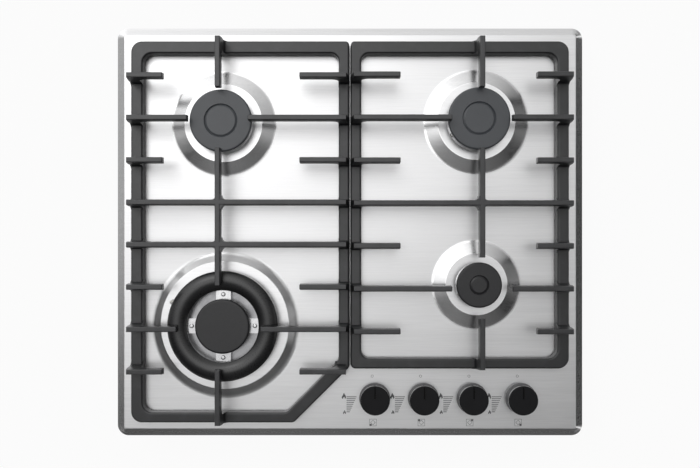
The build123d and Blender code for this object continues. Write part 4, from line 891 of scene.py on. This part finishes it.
@dataclass
class PanelPrint:
    """Marks printed on the panel beside each knob: off, high to low flame, burner place."""

    film: float = 0.06
    off_place: Point = (-3.0, 26.6)
    off_size: float = 3.4
    round_corners: int = 16
    dot_corners: int = 20
    big_flame: Point = (-38.2, 2.0)
    big_height: float = 7.4
    small_flame: Point = (-37.4, -18.0)
    small_height: float = 5.0
    wedge_left: float = -34.8
    wedge_top: float = 0.4
    wedge_drop: float = 18.6
    wedge_bars: int = 9
    bar_long: float = 12.4
    bar_short: float = 4.2
    bar_height: float = 1.05
    sign_place: Point = (-2.0, -31.0)
    sign_size: float = 8.8
    dot_share: float = 0.3
    dot_reach: float = 0.31
    inner_share: float = 0.72
    line: float = 0.45
    flame_form: Sequence[Point] = (
        (0.02, 0.5), (0.14, 0.3), (0.3, 0.06), (0.38, -0.18), (0.34, -0.4), (0.18, -0.5),
        (0.16, -0.32), (0.04, -0.12), (-0.08, -0.32), (-0.12, -0.5), (-0.3, -0.42),
        (-0.36, -0.2), (-0.26, 0.0), (-0.14, 0.12), (-0.1, 0.32),
    )
    marks: Sequence[Mark] = tuple(Mark)

    def ring(self, centre: Point, size: float, corners: int, turn: float) -> list[list[Point]]:
        """Return the quads of a closed band with this many corners.

        Args:
            centre: the middle, in millimetres.
            size: the outer width across corners.
            corners: the number of corners.
            turn: the angle of the first corner in degrees.

        Returns:
            One quad for each side.
        """
        def at(radius: float, index: int) -> Point:
            """Return a corner of the outer or inner outline."""
            angle = math.radians(turn + 360.0 * index / corners)
            return centre[0] + radius * math.cos(angle), centre[1] + radius * math.sin(angle)

        outer, inner = size / 2, size / 2 - self.line / math.cos(math.pi / corners)
        return [
            [at(inner, i), at(outer, i), at(outer, i + 1), at(inner, i + 1)]
            for i in range(corners)
        ]

    def disc(self, centre: Point, size: float) -> list[Point]:
        """Return the outline of a filled round dot."""
        angles = [2 * math.pi * i / self.dot_corners for i in range(self.dot_corners)]
        return [
            (centre[0] + size / 2 * math.cos(angle), centre[1] + size / 2 * math.sin(angle))
            for angle in angles
        ]

    def flame(self, centre: Point, height: float) -> list[Point]:
        """Return a flame's outline: pointed tip, round sides and a notch at the foot.

        Args:
            centre: the middle of the flame.
            height: its height.

        Returns:
            The outline's points.
        """
        return [(centre[0] + height * x, centre[1] + height * y) for x, y in self.flame_form]

    def near(self, index: int, offset: Point) -> Point:
        """Return the place that is this far from a knob's centre."""
        return KNOB_FIRST + index * KNOB_PITCH + offset[0], KNOB_LINE + offset[1]

    def solid_marks(self, index: int, mark: Mark) -> list[list[Point]]:
        """Return the filled marks of one knob: two flames and the filled burner.

        Args:
            index: the knob's number from the left.
            mark: the corner that its burner sign fills in.

        Returns:
            Simple outlines in millimetres.
        """
        sign = self.near(index, self.sign_place)
        side, end = mark.value
        reach = self.sign_size * self.dot_reach
        dot = sign[0] + side * reach, sign[1] + end * reach
        return [
            self.flame(self.near(index, self.big_flame), self.big_height),
            self.flame(self.near(index, self.small_flame), self.small_height),
            self.disc(dot, self.sign_size * self.dot_share),
        ]

    def line_marks(self, index: int) -> list[list[Point]]:
        """Return the fine marks of one knob: off ring, wedge of bars and burner sign.

        Args:
            index: the knob's number from the left.

        Returns:
            Quads in millimetres.
        """
        off = self.near(index, self.off_place)
        shapes = self.ring(off, self.off_size, self.round_corners, 0.0)
        for step in range(self.wedge_bars):
            share = step / (self.wedge_bars - 1)
            length = self.bar_long + share * (self.bar_short - self.bar_long)
            left, low = self.near(
                index, (self.wedge_left, self.wedge_top - share * self.wedge_drop)
            )
            high = low + self.bar_height
            shapes.append([(left, low), (left + length, low), (left + length, high), (left, high)])
        sign = self.near(index, self.sign_place)
        shapes += self.ring(sign, self.sign_size * math.sqrt(2), 4, 45.0)
        shapes += self.ring(sign, self.sign_size * self.inner_share, 4, 0.0)
        return shapes

    def build(self) -> None:
        """Print one sheet of ink for each knob and fix it to the hob."""
        inks = (
            PrintedInk("solid_ink").material(),
            PrintedInk("line_ink", (0.2, 0.2, 0.205), (0.34, 0.34, 0.345)).material(),
        )
        for index, mark in enumerate(self.marks):
            film = bmesh.new()
            for slot, shapes in enumerate((self.solid_marks(index, mark), self.line_marks(index))):
                for outline in shapes:
                    face = film.faces.new(
                        [film.verts.new((x * MM, y * MM, PANEL * MM)) for x, y in outline]
                    )
                    face.material_index = slot
                    face.normal_update()
                    if face.normal.z < 0:
                        face.normal_flip()
            lifted = bmesh.ops.extrude_face_region(film, geom=list(film.faces))
            tops = [part for part in lifted["geom"] if isinstance(part, bmesh.types.BMVert)]
            bmesh.ops.translate(film, vec=(0, 0, self.film * MM), verts=tops)
            bmesh.ops.recalc_face_normals(film, faces=film.faces)
            mesh = bpy.data.meshes.new(f"panel_print_{mark.name.lower()}")
            film.to_mesh(mesh)
            film.free()
            for ink in inks:
                mesh.materials.append(ink)
            piece = bpy.data.objects.new(mesh.name, mesh)
            bpy.context.scene.collection.objects.link(piece)
            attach(piece, "hob_body")
            LOG.info("printed %s", piece.name)


@dataclass(frozen=True)
class Room:
    """Soft light from all round the hob.

    Directions are unit vectors: across is -1 at the left and 1 at the right, and back is -1 at
    the front and 1 at the rear.
    """

    light: float = 1.1
    fall: float = 0.9
    right_wall: Ramp = Ramp(0.56, 0.8, 1.0, 0.08)
    left_wall: Ramp = Ramp(-0.8, -0.5, 0.25, 1.0)
    left_slant: float = 0.4
    front_wall: Ramp = Ramp(-0.2, 0.0, 0.19, 1.0)
    front_foot: Ramp = Ramp(-0.95, -0.6, 0.6, 1.0)
    panel_right: Ramp = Ramp(0.1, 0.2, 1.05, 0.0)
    panel_left: Ramp = Ramp(-0.55, -0.3)
    panel_front: Ramp = Ramp(-0.3, 0.0)
    panel_rear: Ramp = Ramp(0.45, 0.75, 1.0, 0.0)
    window_top: Ramp = Ramp(0.84, 0.87, 0.0, 1.5)
    window_sill: Ramp = Ramp(0.89, 0.93, 1.0, 0.0)
    backdrop: float = 0.99

    def strength(self, across: Value, back: Value) -> Value:
        """Return the light from one direction.

        Args:
            across: how far the direction points to the right.
            back: how far it points to the rear.

        Returns:
            The ceiling between its darker walls, with a bright panel and a low window.
        """
        ceiling = (self.light - across * self.fall) * self.right_wall.of(across)
        ceiling = ceiling * self.left_wall.of(across + back * self.left_slant)
        ceiling = ceiling * (self.front_wall.of(back) * self.front_foot.of(back))
        panel = self.panel_right.of(across) * self.panel_left.of(across)
        panel = panel * self.panel_front.of(back) * self.panel_rear.of(back)
        window = self.window_top.of(across) * self.window_sill.of(across)
        return ceiling + panel + window

    def build(self) -> None:
        """Make the room the scene's world, plain white where the camera sees it."""
        recipe = Recipe("room", bpy.data.worlds)
        coords = recipe.node("ShaderNodeTexCoord", {}, {})
        parts = recipe.node("ShaderNodeSeparateXYZ", {}, {0: coords.outputs["Generated"]})
        across, back = Value(recipe, parts.outputs["X"]), Value(recipe, parts.outputs["Y"])
        path = recipe.node("ShaderNodeLightPath", {}, {})
        light = {"Strength": self.strength(across, back)}
        room = recipe.node("ShaderNodeBackground", {}, light)
        plain = recipe.node(
            "ShaderNodeBackground", {}, {"Color": WHITE, "Strength": self.backdrop}
        )
        seen = recipe.node(
            "ShaderNodeMixShader",
            {},
            {0: path.outputs["Is Camera Ray"], 1: room.outputs[0], 2: plain.outputs[0]},
        )
        recipe.node("ShaderNodeOutputWorld", {}, {"Surface": seen.outputs[0]})
        bpy.context.scene.world = recipe.owner


@dataclass
class Studio:
    """Pale floor, one soft lamp, the room's light and the camera straight above the hob."""

    eye: Vector = field(default_factory=lambda: Vector((0.0, -0.0226, 0.953)))
    reach: float = 0.9
    scale: float = 806.2
    frame_width: int = 700
    drop: float = 16.0
    sensor: float = 36.0
    clip: tuple[float, float] = (0.01, 20.0)
    floor_half: float = 8.0
    floor_drop: float = 0.0005
    floor_colour: Colour = (0.8, 0.8, 0.8)
    backdrop_share: float = 0.93
    lamp_place: Vector = field(default_factory=lambda: Vector((-0.9, 1.0, 1.7)))
    lamp_target: Vector = field(default_factory=lambda: Vector((0.0, 0.0, 0.05)))
    lamp_size: float = 0.5
    lamp_power: float = 2.0

    def camera(self) -> None:
        """Set the camera at the photograph's place."""
        lens = bpy.data.cameras.new("camera")
        lens.sensor_width = self.sensor
        lens.lens = self.scale * self.reach * lens.sensor_width / self.frame_width
        lens.shift_y = self.drop / self.frame_width
        lens.clip_start, lens.clip_end = self.clip
        stand = bpy.data.objects.new("camera", lens)
        stand.location = self.eye
        bpy.context.scene.collection.objects.link(stand)
        bpy.context.scene.camera = stand

    def backdrop(self, recipe: Recipe) -> Value:
        """Return how far a ray sees the plain white backdrop instead of the lit floor."""
        path = recipe.node("ShaderNodeLightPath", {}, {})
        kinds = ("Is Camera Ray", "Is Glossy Ray", "Is Transmission Ray")
        seen = sum(Value(recipe, path.outputs[kind]) for kind in kinds)
        return recipe.span(seen, 0.0, 1.0, 0.0, self.backdrop_share)

    def floor(self) -> None:
        """Lay a wide pale floor that keeps a faint shadow."""
        sheet = bmesh.new()
        bmesh.ops.create_grid(sheet, x_segments=1, y_segments=1, size=self.floor_half)
        mesh = bpy.data.meshes.new("floor")
        sheet.to_mesh(mesh)
        sheet.free()
        recipe = Recipe("studio_floor")
        plain = recipe.node("ShaderNodeBsdfDiffuse", {}, {"Color": self.floor_colour})
        glow = recipe.node("ShaderNodeEmission", {}, {"Color": WHITE, "Strength": 1.0})
        mixed = recipe.node(
            "ShaderNodeMixShader",
            {},
            {0: self.backdrop(recipe), 1: plain.outputs[0], 2: glow.outputs[0]},
        )
        recipe.node("ShaderNodeOutputMaterial", {}, {"Surface": mixed.outputs[0]})
        mesh.materials.append(recipe.owner)
        piece = bpy.data.objects.new("floor", mesh)
        piece.location.z = -self.floor_drop
        bpy.context.scene.collection.objects.link(piece)

    def lamp(self) -> None:
        """Hang one soft square lamp at the rear left."""
        light = bpy.data.lights.new("key_softbox", "AREA")
        light.size, light.energy = self.lamp_size, self.lamp_power
        holder = bpy.data.objects.new(light.name, light)
        holder.location = self.lamp_place
        aim = self.lamp_target - self.lamp_place
        holder.rotation_euler = aim.to_track_quat("-Z", "Y").to_euler()
        bpy.context.scene.collection.objects.link(holder)
        LOG.info("lamp %s of %.0f W", light.name, light.energy)

    def build(self) -> None:
        """Set up the camera, floor, lamp and surroundings."""
        self.camera()
        self.floor()
        Room().build()
        self.lamp()
        view = bpy.context.scene.view_settings
        view.view_transform = "Standard"


def main() -> None:
    """Load the hob, dress its sub-assemblies, print the panel and light the studio."""
    logging.basicConfig(level=logging.INFO)
    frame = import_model()
    Studio().build()
    for kind in (SteelBody, PanSupports, Burners, Controls, GasTrain, Wiring):
        kind(frame["nodes"]).dress()
    PanelPrint().build()


if __name__ == "__main__":
    main()
